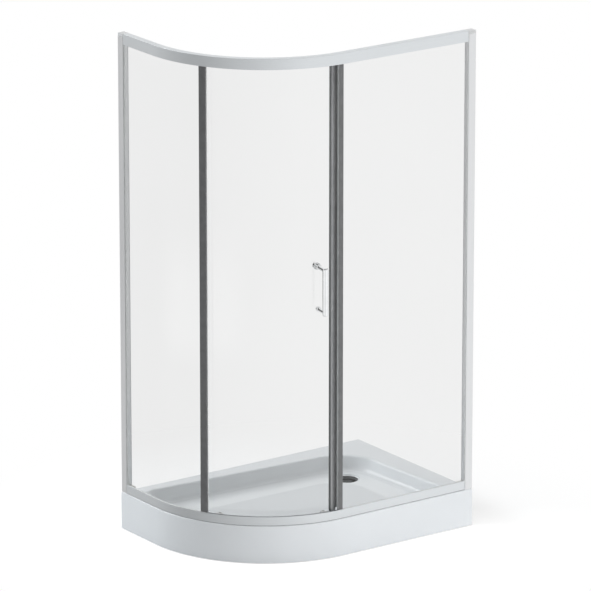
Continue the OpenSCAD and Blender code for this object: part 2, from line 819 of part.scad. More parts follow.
module door_stops() {
  color(c_rubber) {
    translate([rail_x + block_u0, stop_y, ledge_top])
      cube([block_u1 - block_u0, stop_l, top_wheel_r * 2]);
  }
}

module door_glass() {
  color(c_glass) difference() {
    arc_block(door_in_r, door_out_r, door_low, door_high, door_a0, door_a1);
    for (a = roller_a) {
      on_radius(a, hanger_z) radial_rod(roller_hole_r, door_in_r - 2, door_out_r + 2);
      on_radius(a, carrier_z) radial_rod(roller_hole_r, door_in_r - 2, door_out_r + 2);
    }
    for (z = handle_zs)
      on_radius(handle_a, z) radial_rod(handle_hole_r, door_in_r - 2, door_out_r + 2);
  }
}

module door_edge_profile() {
  color(c_profile) difference() {
    union() {
      arc_block(close_in_r, close_out_r, door_low, door_high, close_a0, close_a1);
      arc_block(close_out_r - 1, close_out_r + bead_h, door_low, door_high,
                close_a0 + deg(4, door_mid_r), close_a0 + deg(8, door_mid_r));
    }
    arc_block(door_in_r - slip, door_out_r + slip, door_low - 1, door_high + 1,
              close_a0 - 1, door_a1 + deg(slip, door_mid_r));
  }
}

module magnet_strip_door() {
  color(c_clear) arc_block(magnet_in_r, magnet_out_r, strip_low, strip_high,
                           magnet_a0 + deg(eps, door_mid_r), magnet_a1);
}

// Clips over the trailing edge of the door glass, with a fin towards the fixed pane
module door_rear_seal() {
  edge = door_a0 - deg(slip, door_mid_r);
  color(c_clear) difference() {
    arc_block(door_in_r - slip - rear_seal_t, rear_fin_out_r, strip_low, strip_high,
              edge - deg(rear_seal_t, door_mid_r), rear_fin_a);
    arc_block(door_in_r - slip, door_out_r + slip, strip_low - 1, strip_high + 1,
              edge, rear_fin_a + 1);
    arc_block(door_out_r + slip + rear_seal_t, rear_fin_out_r + 1, strip_low - 1,
              strip_high + 1, edge - 1, rear_fin_a - deg(fin_t, door_mid_r));
    arc_block(door_in_r - slip - rear_seal_t - 1, door_mid_r, strip_low - 1,
              strip_high + 1, door_a0 + deg(12, door_mid_r), rear_fin_a + 1);
  }
}

// A hanger plate: two axle holes and the hole of the eccentric stem
module top_hanger(a) {
  difference() {
    arc_block(plate_r, plate_r + plate_t, plate_low, plate_high,
              a - plate_half_a, a + plate_half_a);
    for (k = [-1, 1]) on_radius(a + k * wheel_half_a, top_wheel_z)
      radial_rod(axle_r + run_fit, plate_r - 2, plate_r + plate_t + 2);
    on_radius(a, stem_z) radial_rod(stem_r + run_fit, plate_r - 2, plate_r + plate_t + 2);
  }
}

module top_hanger_left() { color(c_steel) top_hanger(roller_a[0]); }
module top_hanger_right() { color(c_steel) top_hanger(roller_a[1]); }

module hanger_axles() {
  color(c_steel) for (a = roller_a, k = [-1, 1])
    on_radius(a + k * wheel_half_a, top_wheel_z) {
      radial_rod(axle_r, plate_r - 1, track_out_r - slip);
      radial_rod(axle_head_r, plate_r - 1.6, plate_r - eps);
      radial_rod(axle_head_r, plate_r + plate_t + slip, wheel_in_r - slip);
      radial_rod(axle_head_r, wheel_out_r + slip, track_out_r - slip);
    }
}

// Eccentric bolts: a boss through the glass, a flange, and the offset stem
module hanger_bolts() {
  color(c_steel) for (a = roller_a) {
    on_radius(a, hanger_z) {
      radial_rod(bolt_boss_r, door_in_r - 4, flange_r0);
      radial_rod(bolt_flange_r, flange_r0, flange_r0 + flange_t);
    }
    on_radius(a, stem_z) {
      radial_rod(stem_r, flange_r0, plate_r + plate_t + 1);
      radial_rod(stem_r + 1, plate_r + plate_t + eps, plate_r + plate_t + 1);
    }
  }
}

module hanger_washers() {
  color(c_clear) for (a = roller_a) on_radius(a, hanger_z) {
    radial_ring(bolt_flange_r, roller_hole_r, door_out_r + washer_gap,
                door_out_r + washer_gap + washer_t);
    radial_ring(bolt_flange_r, roller_hole_r, door_in_r - washer_gap - washer_t,
                door_in_r - washer_gap);
  }
}

module hanger_caps() {
  cap_top = handle_in_r;
  color(c_chrome) for (a = roller_a) on_radius(a, hanger_z) difference() {
    union() {
      radial_rod(bolt_flange_r, cap_top - 5, cap_top);
      translate([0, 0, cap_top - 8])
        cylinder(r1 = bolt_flange_r - 3, r2 = bolt_flange_r, h = 3);
    }
    radial_rod(bolt_boss_r + run_fit, door_in_r - 4 - screw_fit, cap_top + 1);
  }
}

module on_radius_box(s0, s1, z0, z1, r0, r1) {
  translate([-z1, s0, r0]) cube([z1 - z0, s1 - s0, r1 - r0]);
}

module carrier_housings() {
  color(c_plastic) for (a = roller_a) on_radius(a, 0) difference() {
    union() {
      on_radius_box(-carrier_half, carrier_half, housing_low, housing_high,
                    housing_r0, housing_r1);
      translate([-carrier_z, 0, 0]) radial_rod(bolt_boss_r, boss_r0, housing_r0 + 1);
    }
    on_radius_box(-slider_half - slip, slider_half + slip, housing_low - 1, pocket_high,
                  slider_r0 - slip, slider_r0 + slider_t + slip);
    on_radius_box(-pin_r - slip, pin_r + slip, pin_z, pin_z + release_travel,
                  boss_r0 - 1, slider_r0);
    for (z = [pin_z, pin_z + release_travel]) translate([-z, 0, 0])
      radial_rod(pin_r + slip, boss_r0 - 1, slider_r0);
    on_radius_box(-axle_r - slip, axle_r + slip, housing_low - 1, bottom_wheel_z + release_travel,
                  slider_r0 + slider_t, housing_r1 + 1);
    translate([-bottom_wheel_z - release_travel, 0, 0])
      radial_rod(axle_r + slip, slider_r0 + slider_t, housing_r1 + 1);
  }
}

module carrier_rings() {
  color(c_plastic) for (a = roller_a) on_radius(a, carrier_z)
    radial_ring(ring_r, bolt_boss_r + screw_fit, ring_r0, door_in_r - slip);
}

// The sprung slider: a notched plate, the release pin and the wheel's axle
module release_slider(a) {
  on_radius(a, 0) {
    difference() {
      on_radius_box(-slider_half, slider_half, slider_low, slider_high,
                    slider_r0, slider_r0 + slider_t);
      on_radius_box(spring_s - notch_w / 2, spring_s + notch_w / 2, notch_low,
                    slider_high + 1, slider_r0 - 1, slider_r0 + slider_t + 1);
    }
    translate([-pin_z, 0, 0]) radial_rod(pin_r, button_out - 4, slider_r0 + 1);
    translate([-bottom_wheel_z, 0, 0]) {
      radial_rod(axle_r, slider_r0 + 1, track_out_r - slip);
      radial_rod(axle_head_r, wheel_out_r + slip, track_out_r - slip);
    }
  }
}

module release_slider_left() { color(c_steel) release_slider(roller_a[0]); }
module release_slider_right() { color(c_steel) release_slider(roller_a[1]); }

module release_button(a) {
  on_radius(a, pin_z) difference() {
    union() {
      radial_rod(button_r, button_out - button_l + 1, button_out);
      translate([0, 0, button_out - button_l]) cylinder(r1 = button_r - 1, r2 = button_r, h = 1);
    }
    radial_rod(pin_r + run_fit, button_out - 4 - screw_fit, button_out + 1);
  }
}

module release_button_left() { color(c_plastic) release_button(roller_a[0]); }
module release_button_right() { color(c_plastic) release_button(roller_a[1]); }

module release_spring(a) {
  on_radius(a, 0) translate([0, spring_s, slider_r0 + slider_t / 2]) rotate([0, -90, 0])
    translate([0, 0, notch_low + screw_fit]) difference() {
      cylinder(r = spring_r, h = pocket_high - notch_low - 2 * screw_fit);
      translate([0, 0, -1]) cylinder(r = spring_r - 0.6, h = pocket_high - notch_low + 2);
    }
}

module release_spring_left() { color(c_steel) release_spring(roller_a[0]); }
module release_spring_right() { color(c_steel) release_spring(roller_a[1]); }

// A nylon wheel with shallow recesses in its faces
module wheel(a, z, r) {
  on_radius(a, z) difference() {
    union() {
      radial_rod(r - 0.6, wheel_in_r, wheel_out_r);
      radial_rod(r, wheel_in_r + 0.6, wheel_out_r - 0.6);
    }
    radial_ring(r - 2.5, axle_head_r + 0.5, wheel_in_r - 1, wheel_in_r + 1);
    radial_ring(r - 2.5, axle_head_r + 0.5, wheel_out_r - 1, wheel_out_r + 1);
    radial_rod(axle_r + run_fit, wheel_in_r - 1, wheel_out_r + 1);
  }
}

module top_wheel_1() { color(c_plastic) wheel(roller_a[0] - wheel_half_a, top_wheel_z, top_wheel_r); }
module top_wheel_2() { color(c_plastic) wheel(roller_a[0] + wheel_half_a, top_wheel_z, top_wheel_r); }
module top_wheel_3() { color(c_plastic) wheel(roller_a[1] - wheel_half_a, top_wheel_z, top_wheel_r); }
module top_wheel_4() { color(c_plastic) wheel(roller_a[1] + wheel_half_a, top_wheel_z, top_wheel_r); }
module bottom_wheel_left() { color(c_plastic) wheel(roller_a[0], bottom_wheel_z, bottom_wheel_r); }
module bottom_wheel_right() { color(c_plastic) wheel(roller_a[1], bottom_wheel_z, bottom_wheel_r); }

module handle_axis() {
  translate([arc_x, arc_y, 0]) rotate([0, 0, plan_a(handle_a)])
    translate([bar_axis_r, 0, 0]) children();
}

// The bar's outline has rounded ends
module handle_bar() {
  z0 = handle_zs[0] - bar_over;
  z1 = handle_zs[1] + bar_over;
  e = 4;
  color(c_chrome) difference() {
    handle_axis() rotate_extrude(angle = 360) {
      translate([0, z0]) square([bar_r - e, z1 - z0]);
      translate([0, z0 + e]) square([bar_r, z1 - z0 - 2 * e]);
      for (z = [z0 + e, z1 - e]) translate([bar_r - e, z]) circle(r = e, $fn = 32);
    }
    for (z = handle_zs) on_radius(handle_a, z)
      radial_rod(handle_stud_r + run_fit, bar_axis_r - bar_r - 1, bar_axis_r);
  }
}

module handle_standoffs() {
  color(c_chrome) for (z = handle_zs) difference() {
    on_radius(handle_a, z) {
      radial_rod(standoff_r, flange_r0, bar_axis_r);
      radial_rod(standoff_r + 3, flange_r0, flange_r0 + 3);
    }
    handle_axis() translate([0, 0, z - 2 * bar_r]) cylinder(r = bar_r + screw_fit, h = 4 * bar_r);
    on_radius(handle_a, z) radial_rod(handle_stud_r + run_fit, flange_r0 - 1, bar_axis_r);
  }
}

module handle_washers() {
  color(c_clear) for (z = handle_zs) on_radius(handle_a, z) {
    radial_ring(standoff_r + 3, handle_stud_r + slip, door_out_r + washer_gap,
                door_out_r + washer_gap + washer_t);
    radial_ring(cap_r, handle_stud_r + slip, door_in_r - washer_gap - washer_t,
                door_in_r - washer_gap);
  }
}

module handle_studs() {
  color(c_steel) {
    on_radius(handle_a, handle_zs[1])
      radial_rod(handle_stud_r, handle_in_r - knob_l * 0.6, bar_axis_r - screw_fit);
    on_radius(handle_a, handle_zs[0])
      radial_rod(handle_stud_r, handle_in_r - 4, bar_axis_r - screw_fit);
  }
}

// The knob: a short neck on the glass and a rounded head
module handle_knob() {
  e = 4;
  color(c_chrome) on_radius(handle_a, handle_zs[1]) difference() {
    translate([0, 0, handle_in_r - knob_l]) rotate_extrude(angle = 360) {
      translate([0, 0]) square([knob_r - e, knob_l - 8]);
      translate([0, e]) square([knob_r, knob_l - 8 - 2 * e]);
      for (z = [e, knob_l - 8 - e]) translate([knob_r - e, z]) circle(r = e, $fn = 32);
      square([knob_r - 6, knob_l]);
    }
    radial_rod(handle_stud_r + run_fit, handle_in_r - knob_l * 0.6 - screw_fit, handle_in_r + 1);
  }
}

module handle_cap() {
  color(c_chrome) on_radius(handle_a, handle_zs[0]) difference() {
    union() {
      radial_rod(cap_r, handle_in_r - 4, handle_in_r);
      translate([0, 0, handle_in_r - 6]) cylinder(r1 = cap_r - 2, r2 = cap_r, h = 2 + eps);
    }
    radial_rod(handle_stud_r + run_fit, handle_in_r - 4 - screw_fit, handle_in_r + 1);
  }
}

tray_shell();
base_board();
frame_tubes();
leg_studs();
leg_nuts();
leg_pads();
frame_screws();
wall_hooks();
wall_profile_left();
wall_profile_right();
jamb_left();
jamb_right();
wall_profile_caps();
jamb_screws();
jamb_screw_caps();
bottom_rail();
top_rail();
rail_end_blocks();
rail_end_screws();
fixed_glass_left();
fixed_glass_right();
setting_blocks();
glazing_gasket_left();
glazing_gasket_right();
rail_gaskets();
edge_profile_left();
edge_seal_left();
edge_profile_right();
magnet_strip_fixed();
door_stops();
door_glass();
door_edge_profile();
magnet_strip_door();
door_rear_seal();
top_hanger_left();
top_hanger_right();
hanger_axles();
hanger_bolts();
hanger_washers();
hanger_caps();
carrier_housings();
carrier_rings();
handle_bar();
handle_standoffs();
handle_washers();
handle_studs();
handle_knob();
handle_cap();
top_wheel_1();
top_wheel_2();
top_wheel_3();
top_wheel_4();
release_slider_left();
release_slider_right();
release_button_left();
release_button_right();
release_spring_left();
release_spring_right();
bottom_wheel_left();
bottom_wheel_right();
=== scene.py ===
import json
import math
from collections import Counter

import bmesh
import bpy
from mathutils import Matrix, Vector
from mathutils.geometry import delaunay_2d_cdt

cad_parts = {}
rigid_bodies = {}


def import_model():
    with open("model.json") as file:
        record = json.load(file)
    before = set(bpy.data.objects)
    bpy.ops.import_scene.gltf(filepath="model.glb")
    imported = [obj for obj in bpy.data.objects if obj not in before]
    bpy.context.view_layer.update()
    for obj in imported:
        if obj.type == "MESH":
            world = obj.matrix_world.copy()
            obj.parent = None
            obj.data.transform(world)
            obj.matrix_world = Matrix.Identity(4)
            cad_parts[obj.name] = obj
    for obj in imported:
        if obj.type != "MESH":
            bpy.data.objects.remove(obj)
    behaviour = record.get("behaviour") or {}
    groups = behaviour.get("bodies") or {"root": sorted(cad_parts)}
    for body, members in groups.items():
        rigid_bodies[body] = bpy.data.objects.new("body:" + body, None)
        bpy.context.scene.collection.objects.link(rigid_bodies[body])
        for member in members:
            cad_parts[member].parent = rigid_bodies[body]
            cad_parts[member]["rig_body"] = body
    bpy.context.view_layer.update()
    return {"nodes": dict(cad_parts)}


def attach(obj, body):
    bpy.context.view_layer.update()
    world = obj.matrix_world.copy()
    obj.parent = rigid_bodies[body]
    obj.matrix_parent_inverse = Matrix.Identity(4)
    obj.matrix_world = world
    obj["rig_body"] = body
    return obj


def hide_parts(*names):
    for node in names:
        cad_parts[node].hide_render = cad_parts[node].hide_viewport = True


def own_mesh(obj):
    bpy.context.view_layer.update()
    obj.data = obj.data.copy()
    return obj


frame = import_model()


# The studio
# A long lens at the photograph's angle, looking down on the curved front. The room is pale and
# soft: brightest at the front right, darkest at the back left, over a plain white floor.

def add(tree, kind, values=None, **settings):
    """Adds a node to a tree; each value is a number to set or a socket to link."""
    node = tree.nodes.new(kind)
    for key, value in settings.items():
        setattr(node, key, value)
    for key, value in (values or {}).items():
        if isinstance(value, bpy.types.NodeSocket):
            tree.links.new(value, node.inputs[key])
        else:
            node.inputs[key].default_value = value
    return node


def node_group(family, name, inputs, outputs):
    """An empty node group with named sockets, and its two end nodes."""
    tree = bpy.data.node_groups.new(name, family + "NodeTree")
    for way, sockets in (("INPUT", inputs), ("OUTPUT", outputs)):
        for label, kind, *value in sockets:
            socket = tree.interface.new_socket(label, in_out=way, socket_type="NodeSocket" + kind)
            if value:
                socket.default_value = value[0]
    return tree, tree.nodes.new("NodeGroupInput"), tree.nodes.new("NodeGroupOutput")


def placed(name, data):
    """A new object in the scene."""
    thing = bpy.data.objects.new(name, data)
    bpy.context.scene.collection.objects.link(thing)
    return thing


def plan_way(degrees):
    """The level direction at a plan angle."""
    return Vector((math.cos(math.radians(degrees)), math.sin(math.radians(degrees)), 0))


camera_turn, camera_tilt, camera_away = math.radians(-35.28), math.radians(16.82), 23.237
looked_at = Vector((-0.00713, 0.0, 0.99505))
to_camera = Vector((math.sin(camera_turn) * math.cos(camera_tilt),
                    -math.cos(camera_turn) * math.cos(camera_tilt), math.sin(camera_tilt)))
camera = placed("camera", bpy.data.cameras.new("camera"))
camera.location = looked_at + to_camera * camera_away
camera.rotation_euler = (-to_camera).to_track_quat("-Z", "Y").to_euler()
camera.data.sensor_width = 36.0
camera.data.lens = 348.55
camera.data.clip_end = 300.0
bpy.context.scene.camera = camera
bpy.context.scene.view_settings.view_transform = "Standard"


def ramp(tree, value, start, end, low, high, interpolation="SMOOTHSTEP"):
    return add(tree, "ShaderNodeMapRange", {"Value": value, "From Min": start, "From Max": end,
                                            "To Min": low, "To Max": high},
               interpolation_type=interpolation).outputs[0]


def reckoned(tree, operation, *values):
    return add(tree, "ShaderNodeMath", dict(enumerate(values)), operation=operation).outputs[0]


def vector(tree, operation, *values):
    """The outputs of a sum with vectors: first a vector, then a value."""
    return add(tree, "ShaderNodeVectorMath", dict(enumerate(values)), operation=operation).outputs


def height_of(tree, place):
    return add(tree, "ShaderNodeSeparateXYZ", {0: place}).outputs["Z"]


def blend(tree, share, first, second):
    """A mix of two shaders, which is all the second where the share is 1."""
    return add(tree, "ShaderNodeMixShader", {0: share, 1: first.outputs[0], 2: second.outputs[0]})


# The room in a direction: how brightly its walls light that side, and what a mirror shows there
room_glow, ends_in, ends_out = node_group("Shader", "room_glow", [("Direction", "Vector")],
                                          [("Walls", "Float"), ("Mirrored", "Float")])
aim = vector(room_glow, "NORMALIZE", ends_in.outputs["Direction"])[0]
rise = height_of(room_glow, aim)
heading = vector(room_glow, "NORMALIZE", vector(room_glow, "MULTIPLY", aim, (1, 1, 0))[0])[0]


def off_side(degrees):
    """The angle between the heading and a side of the room."""
    facing = vector(room_glow, "DOT_PRODUCT", heading, plan_way(degrees))["Value"]
    return reckoned(room_glow, "ARCCOSINE", facing)


def card(degrees, half_wide, middle, half_high, soft=0.1, soft_up=0.03):
    """1 on a card that stands or lies at a side of the room, and 0 past its soft edge."""
    across = ramp(room_glow, off_side(degrees), half_wide, half_wide + soft, 1.0, 0.0)
    off_middle = reckoned(room_glow, "ABSOLUTE", reckoned(room_glow, "SUBTRACT", rise, middle))
    along = ramp(room_glow, off_middle, half_high, half_high + soft_up, 1.0, 0.0)
    return reckoned(room_glow, "MULTIPLY", across, along)


# White cards on the floor at the dim side and high at the back left, where the tray's rounded
# edge mirrors it. Then black ones behind, at the horizon, overhead and underneath, for the chrome
walls = ramp(room_glow, off_side(175), 0.0, 1.6, 0.42, 0.98, "LINEAR")
room_glow.links.new(walls, ends_out.inputs["Walls"])
low_card = card(178, 0.3, -0.27, 0.02, 0.5, 0.06)
shown = reckoned(room_glow, "MULTIPLY_ADD", low_card, 0.45, walls)
shown = reckoned(room_glow, "MULTIPLY_ADD", card(118, 0.45, 0.66, 0.13), 4.5, shown)
for dark in (card(94, 0.40, 0.22, 0.22), card(88, 0.5, -0.27, 0.05),
             card(180, math.pi, 0.035, 0.02), ramp(room_glow, rise, 0.5, 0.85, 0.0, 1.0),
             ramp(room_glow, rise, -0.95, -0.84, 1.0, 0.0)):
    shown = reckoned(room_glow, "MULTIPLY", shown,
                     reckoned(room_glow, "MULTIPLY_ADD", dark, -0.95, 1.0))
room_glow.links.new(shown, ends_out.inputs["Mirrored"])


def rays_seen_and_mirrored(tree):
    """Two masks: rays from the camera, straight or through glass, and rays that a piece mirrors."""
    ray = add(tree, "ShaderNodeLightPath").outputs
    bounced = reckoned(tree, "MINIMUM", ray["Glossy Depth"], 1.0)
    looking = reckoned(tree, "MAXIMUM", ray["Is Camera Ray"], ray["Is Transmission Ray"])
    masks = [reckoned(tree, "SUBTRACT", looking, bounced),
             reckoned(tree, "SUBTRACT", bounced, ray["Is Diffuse Ray"])]
    return [reckoned(tree, "GREATER_THAN", mask, 0.5) for mask in masks]


room = bpy.data.worlds.new("room")
bpy.context.scene.world = room
room.use_nodes = True
tree = room.node_tree
seen, mirrored = rays_seen_and_mirrored(tree)
ray_way = add(tree, "ShaderNodeTexCoord").outputs["Generated"]
glow = add(tree, "ShaderNodeGroup", {"Direction": ray_way}, node_tree=room_glow)
fill_share = 0.40
fill = reckoned(tree, "MULTIPLY", glow.outputs["Walls"], fill_share)
unseen = add(tree, "ShaderNodeMix", {0: mirrored, 2: fill, 3: glow.outputs["Mirrored"]})
strength = add(tree, "ShaderNodeMix", {0: seen, 2: unseen.outputs[0], 3: 1.0})
tree.links.new(strength.outputs[0], tree.nodes["Background"].inputs["Strength"])
tree.nodes["Background"].inputs["Color"].default_value = (1, 1, 1, 1)


lamp_away = 6.0


def soft_lamp(name, plan_angle, lift, power, tint, wide, high, aimed_at=1.0):
    """A soft box aimed at the enclosure, at a height in metres; it only lights and isn't seen."""
    way = plan_way(plan_angle) * math.cos(math.radians(lift))
    way.z = math.sin(math.radians(lift))
    lamp = placed(name, bpy.data.lights.new(name, "AREA"))
    lamp.data.shape, lamp.data.size, lamp.data.size_y = "RECTANGLE", wide, high
    lamp.data.energy, lamp.data.color = power, tint
    lamp.location = Vector((0, 0, aimed_at)) + way * lamp_away
    lamp.rotation_euler = (-way).to_track_quat("-Z", "Y").to_euler()
    lamp.visible_camera = lamp.visible_glossy = lamp.visible_transmission = False


soft_lamp("lamp_low_front", 285, 0, 143, (1, 1, 1), 3.6, 0.5, aimed_at=0.28)
soft_lamp("lamp_back_left", 125, 17, 240, (0.95, 0.98, 1.0), 3.2, 1.6)
soft_lamp("lamp_overhead", 285, 80, 150, (1, 1, 1), 3.2, 3.2)

floor_reach, floor_sides = 60.0, 96
floor_mesh = bpy.data.meshes.new("studio_floor")
floor_mesh.from_pydata([plan_way(k * 360 / floor_sides) * floor_reach for k in range(floor_sides)],
                       [], [list(range(floor_sides))])
floor_paint = bpy.data.materials.new("floor_paint")
floor_paint.use_nodes = True
tree = floor_paint.node_tree
tree.nodes.remove(tree.nodes["Principled BSDF"])
seen, mirrored = rays_seen_and_mirrored(tree)
spot = add(tree, "ShaderNodeTexCoord").outputs["Object"]

# Away from the tray the floor goes over to plain white
near_reach, far_reach = 0.7, 1.4
far_out = ramp(tree, vector(tree, "LENGTH", spot)["Value"], near_reach, far_reach, 0.0, 1.0)
seen_far = reckoned(tree, "MULTIPLY", far_out, seen)


def past(corner, side, reach):
    """1 where the floor is further than a reach beyond a corner, on its lower or upper side."""
    off = vector(tree, side, vector(tree, "SUBTRACT", spot, corner)[0])[0]
    return reckoned(tree, "GREATER_THAN", vector(tree, "LENGTH", off)["Value"], reach)


# Below the tray the floor is painted black, a painted shade, where a pane or the waste hole shows
# it, or a piece mirrors it
curve_middle, curve_reach, wall_corner = (-0.05, 0.15, 0), 0.53, (0.59, 0.39, 0)
outside = add(tree, "ShaderNodeLightPath").outputs["Is Camera Ray"]
for beyond in (past(curve_middle, "MINIMUM", curve_reach), past(wall_corner, "MAXIMUM", 0.0)):
    outside = reckoned(tree, "MAXIMUM", outside, beyond)
# The floor near the tray glows more in front of it than behind: painted light that washes out the
# tray's shadow in front
back_glow, front_glow, paint_tone = 0.33, 0.6, 0.8
frontward = vector(tree, "DOT_PRODUCT", spot, to_camera)["Value"]
near_glow = ramp(tree, frontward, -0.3, 0.2, back_glow, front_glow)
near_glow = reckoned(tree, "MULTIPLY", reckoned(tree, "MULTIPLY", outside, near_glow), seen)
own_white = add(tree, "ShaderNodeEmission", {"Strength": near_glow})
matt_paint = add(tree, "ShaderNodeBsdfDiffuse",
                 {"Color": reckoned(tree, "MULTIPLY", outside, paint_tone)})
near_look = add(tree, "ShaderNodeAddShader", {0: own_white.outputs[0], 1: matt_paint.outputs[0]})
plain_look = blend(tree, seen_far, near_look, add(tree, "ShaderNodeEmission"))
handle_height = 1.1
from_handle = vector(tree, "SUBTRACT", spot, (0, 0, handle_height))[0]
glow = add(tree, "ShaderNodeGroup", {"Direction": from_handle}, node_tree=room_glow)
room_shown = reckoned(tree, "MULTIPLY", outside, glow.outputs["Mirrored"])
floor_look = blend(tree, mirrored, plain_look,
                   add(tree, "ShaderNodeEmission", {"Strength": room_shown}))
tree.links.new(floor_look.outputs[0], tree.nodes["Material Output"].inputs["Surface"])
floor_mesh.materials.append(floor_paint)
placed("studio_floor", floor_mesh)


# The tray
# A low shower tray, vacuum formed with its skirt from one sheet of white acrylic and backed
# with glass fibre and resin. A rim runs round the basin, whose floor falls to the waste hole.

# From here on a mesh's sizes are in millimetres, in the CAD model's frame; the scene is in metres
mm, metre = 0.001, 1000
arc_x, arc_y = -50.0, 150.0
tray_x, tray_y, tray_r, tray_top, sheet_t = 600.0, 400.0, 550.0, 160.0, 5.0
skirt_foot, lip_foot, edge_ease, corner_ease, straight_to = 3.0, 130.0, 6.0, 2.0, tray_top - 25.0
end_step, end_near, end_along = 1.3, 9, 20
waste_x, waste_y, waste_r, seat_r, collar_foot = 350.0, 135.0, 45.0, 52.0, 82.0
wall_foot_z, pan_z, wall_lean = 108.0, 102.0, 27.0
basin_corners = [(arc_x, arc_y, 484.0), (452.0, -274.0, 60.0), (312.0, 115.0, 175.0),
                 (-474.0, 282.0, 60.0)]
pan_corners = [(arc_x, arc_y, 327.0), (310.0, -149.0, 28.0), (190.0, -3.0, 148.0),
               (-349.0, 117.0, 28.0)]
# Where the points of the four sides lie, as shares of their length: even, but close at the ends
tenths = [k / 10 for k in range(1, 10)]
side_steps = [tenths + [0.9870, 0.9895], [0.0038, 0.0044] + tenths + [0.997],
              [0.003] + tenths + [0.9970, 0.9975], [0.0282, 0.0339] + tenths[1:]]
corner_steps = [72, 10, 24, 10]


def round_plan(corners, inset=0.0):
    """A plan with four rounded corners, counter-clockwise from the curved front corner."""
    corners = [(x, y, r - inset) for x, y, r in corners]
    outward = [math.atan2(y2 - y1, x2 - x1) - math.acos((r1 - r2) / math.hypot(x2 - x1, y2 - y1))
               for (x1, y1, r1), (x2, y2, r2) in zip(corners, corners[1:] + corners[:1])]
    points = []
    for k, (x, y, r) in enumerate(corners):
        start, end = outward[k - 1], outward[k]
        while end < start:
            end += math.tau
        spread = (end - start) / corner_steps[k]
        points += [Vector((x + r * math.cos(start + spread * j),
                           y + r * math.sin(start + spread * j), 0))
                   for j in range(corner_steps[k] + 1)]
        x2, y2, r2 = corners[(k + 1) % 4]
        leaves = points[-1]
        meets = Vector((x2 + r2 * math.cos(outward[k]), y2 + r2 * math.sin(outward[k]), 0))
        points += [leaves.lerp(meets, share) for share in side_steps[k]]
    return points


def tray_plan(inset):
    """The tray's own outline, whose skirt steps back a little at both wall ends."""
    x, y = tray_x - inset - corner_ease, tray_y - inset - corner_ease
    points = round_plan([(arc_x, arc_y, tray_r - inset), (x, -y, corner_ease), (x, y, corner_ease),
                         (-x, y, corner_ease)])
    for p in points:
        if p.x > tray_x - end_near and p.y < -tray_y + end_along:
            p.y = max(p.y, -tray_y + end_step)
        if p.y > tray_y - end_near and p.x < -tray_x + end_along:
            p.x = max(p.x, -tray_x + end_step)
    return points


def at_level(points, z):
    levels = z if isinstance(z, list) else [z] * len(points)
    return [Vector((p.x, p.y, h)) for p, h in zip(points, levels)]


def bent_rings(a, b, c, steps):
    """Rings on the soft curve from ring a to ring c that leans towards ring b."""
    return [[p.lerp(q, k / steps).lerp(q.lerp(r, k / steps), k / steps) for p, q, r in zip(a, b, c)]
            for k in range(steps + 1)]


def basin_ring(inset, z):
    return at_level(round_plan(basin_corners, inset), z)


def basin_wall(z):
    return basin_ring(wall_lean * ((tray_top - z) / (tray_top - wall_foot_z)), z)


# The skirt hangs to the floor at the front and left; along the walls there is only a short lip
plan_size = len(tray_plan(0))
skirt_last = corner_steps[0] + 1 + len(side_steps[0]) + corner_steps[1] + 1
skirt_first = skirt_last + len(side_steps[1]) + corner_steps[2] + 1 + len(side_steps[2]) - 1
foot = [skirt_foot if k <= skirt_last or k >= skirt_first else lip_foot for k in range(plan_size)]
rings = [at_level(tray_plan(0), foot), at_level(tray_plan(0), straight_to)]
edge_steps = 5
for k in range(edge_steps + 1):
    a = math.pi / 2 * k / edge_steps
    rings.append(at_level(tray_plan(edge_ease * (1 - math.cos(a))),
                          tray_top - edge_ease * (1 - math.sin(a))))

# The basin: its soft edge, its wall, a band that slopes down gently, and the flat pan
rim_curve, foot_curve, band_in, pan_curve, band_high = 9, 16, 18, 12, wall_foot_z - 0.8
rings += bent_rings(basin_ring(-rim_curve, tray_top), basin_wall(tray_top),
                    basin_wall(tray_top - rim_curve), steps=7)
band_top = basin_ring(wall_lean + band_in, band_high)
rings += bent_rings(basin_wall(wall_foot_z + foot_curve), basin_wall(wall_foot_z), band_top, steps=9)
band_ring = len(rings) - 1
pan_edge = at_level(round_plan(pan_corners), pan_z)
on_slope = [[p.lerp(q, share) for p, q in zip(band_top, pan_edge)] for share in (0.3, 0.6, 0.88)]
pan_flat = at_level(round_plan(pan_corners, pan_curve), pan_z)
rings += on_slope[:2] + bent_rings(on_slope[2], pan_edge, pan_flat, steps=5)
face_rings = len(rings)
rings += [at_level(pan_flat, pan_z - sheet_t), at_level(pan_edge, pan_z - sheet_t),
          basin_ring(wall_lean - sheet_t, wall_foot_z - sheet_t),
          basin_ring(-sheet_t, tray_top - sheet_t), at_level(tray_plan(sheet_t), tray_top - sheet_t),
          at_level(tray_plan(sheet_t), foot)]


def mended(mesh):
    """Joins doubled points, drops loose ones and turns the faces of a closed mesh outwards."""
    shape = bmesh.new()
    shape.from_mesh(mesh)
    bmesh.ops.remove_doubles(shape, verts=shape.verts, dist=1e-7)
    bmesh.ops.delete(shape, geom=[v for v in shape.verts if not v.link_faces], context="VERTS")
    bmesh.ops.recalc_face_normals(shape, faces=shape.faces)
    shape.to_mesh(mesh)
    shape.free()
    return mesh


def mm_mesh(name, points, faces):
    """A closed mesh of points given in millimetres."""
    mesh = bpy.data.meshes.new(name)
    mesh.from_pydata([Vector(p) * mm for p in points], [], faces)
    return mended(mesh)


def ring_faces(rows, join_ends):
    """Quads between rows of point numbers; a row of one number is a tip."""
    faces = []
    for a, b in zip(rows, rows[1:] + (rows[:1] if join_ends else [])):
        n = max(len(a), len(b))
        for k in range(n):
            k2 = (k + 1) % n
            corners = [a[k % len(a)], a[k2 % len(a)], b[k2 % len(b)], b[k % len(b)]]
            faces.append(tuple(dict.fromkeys(corners)))
    return faces


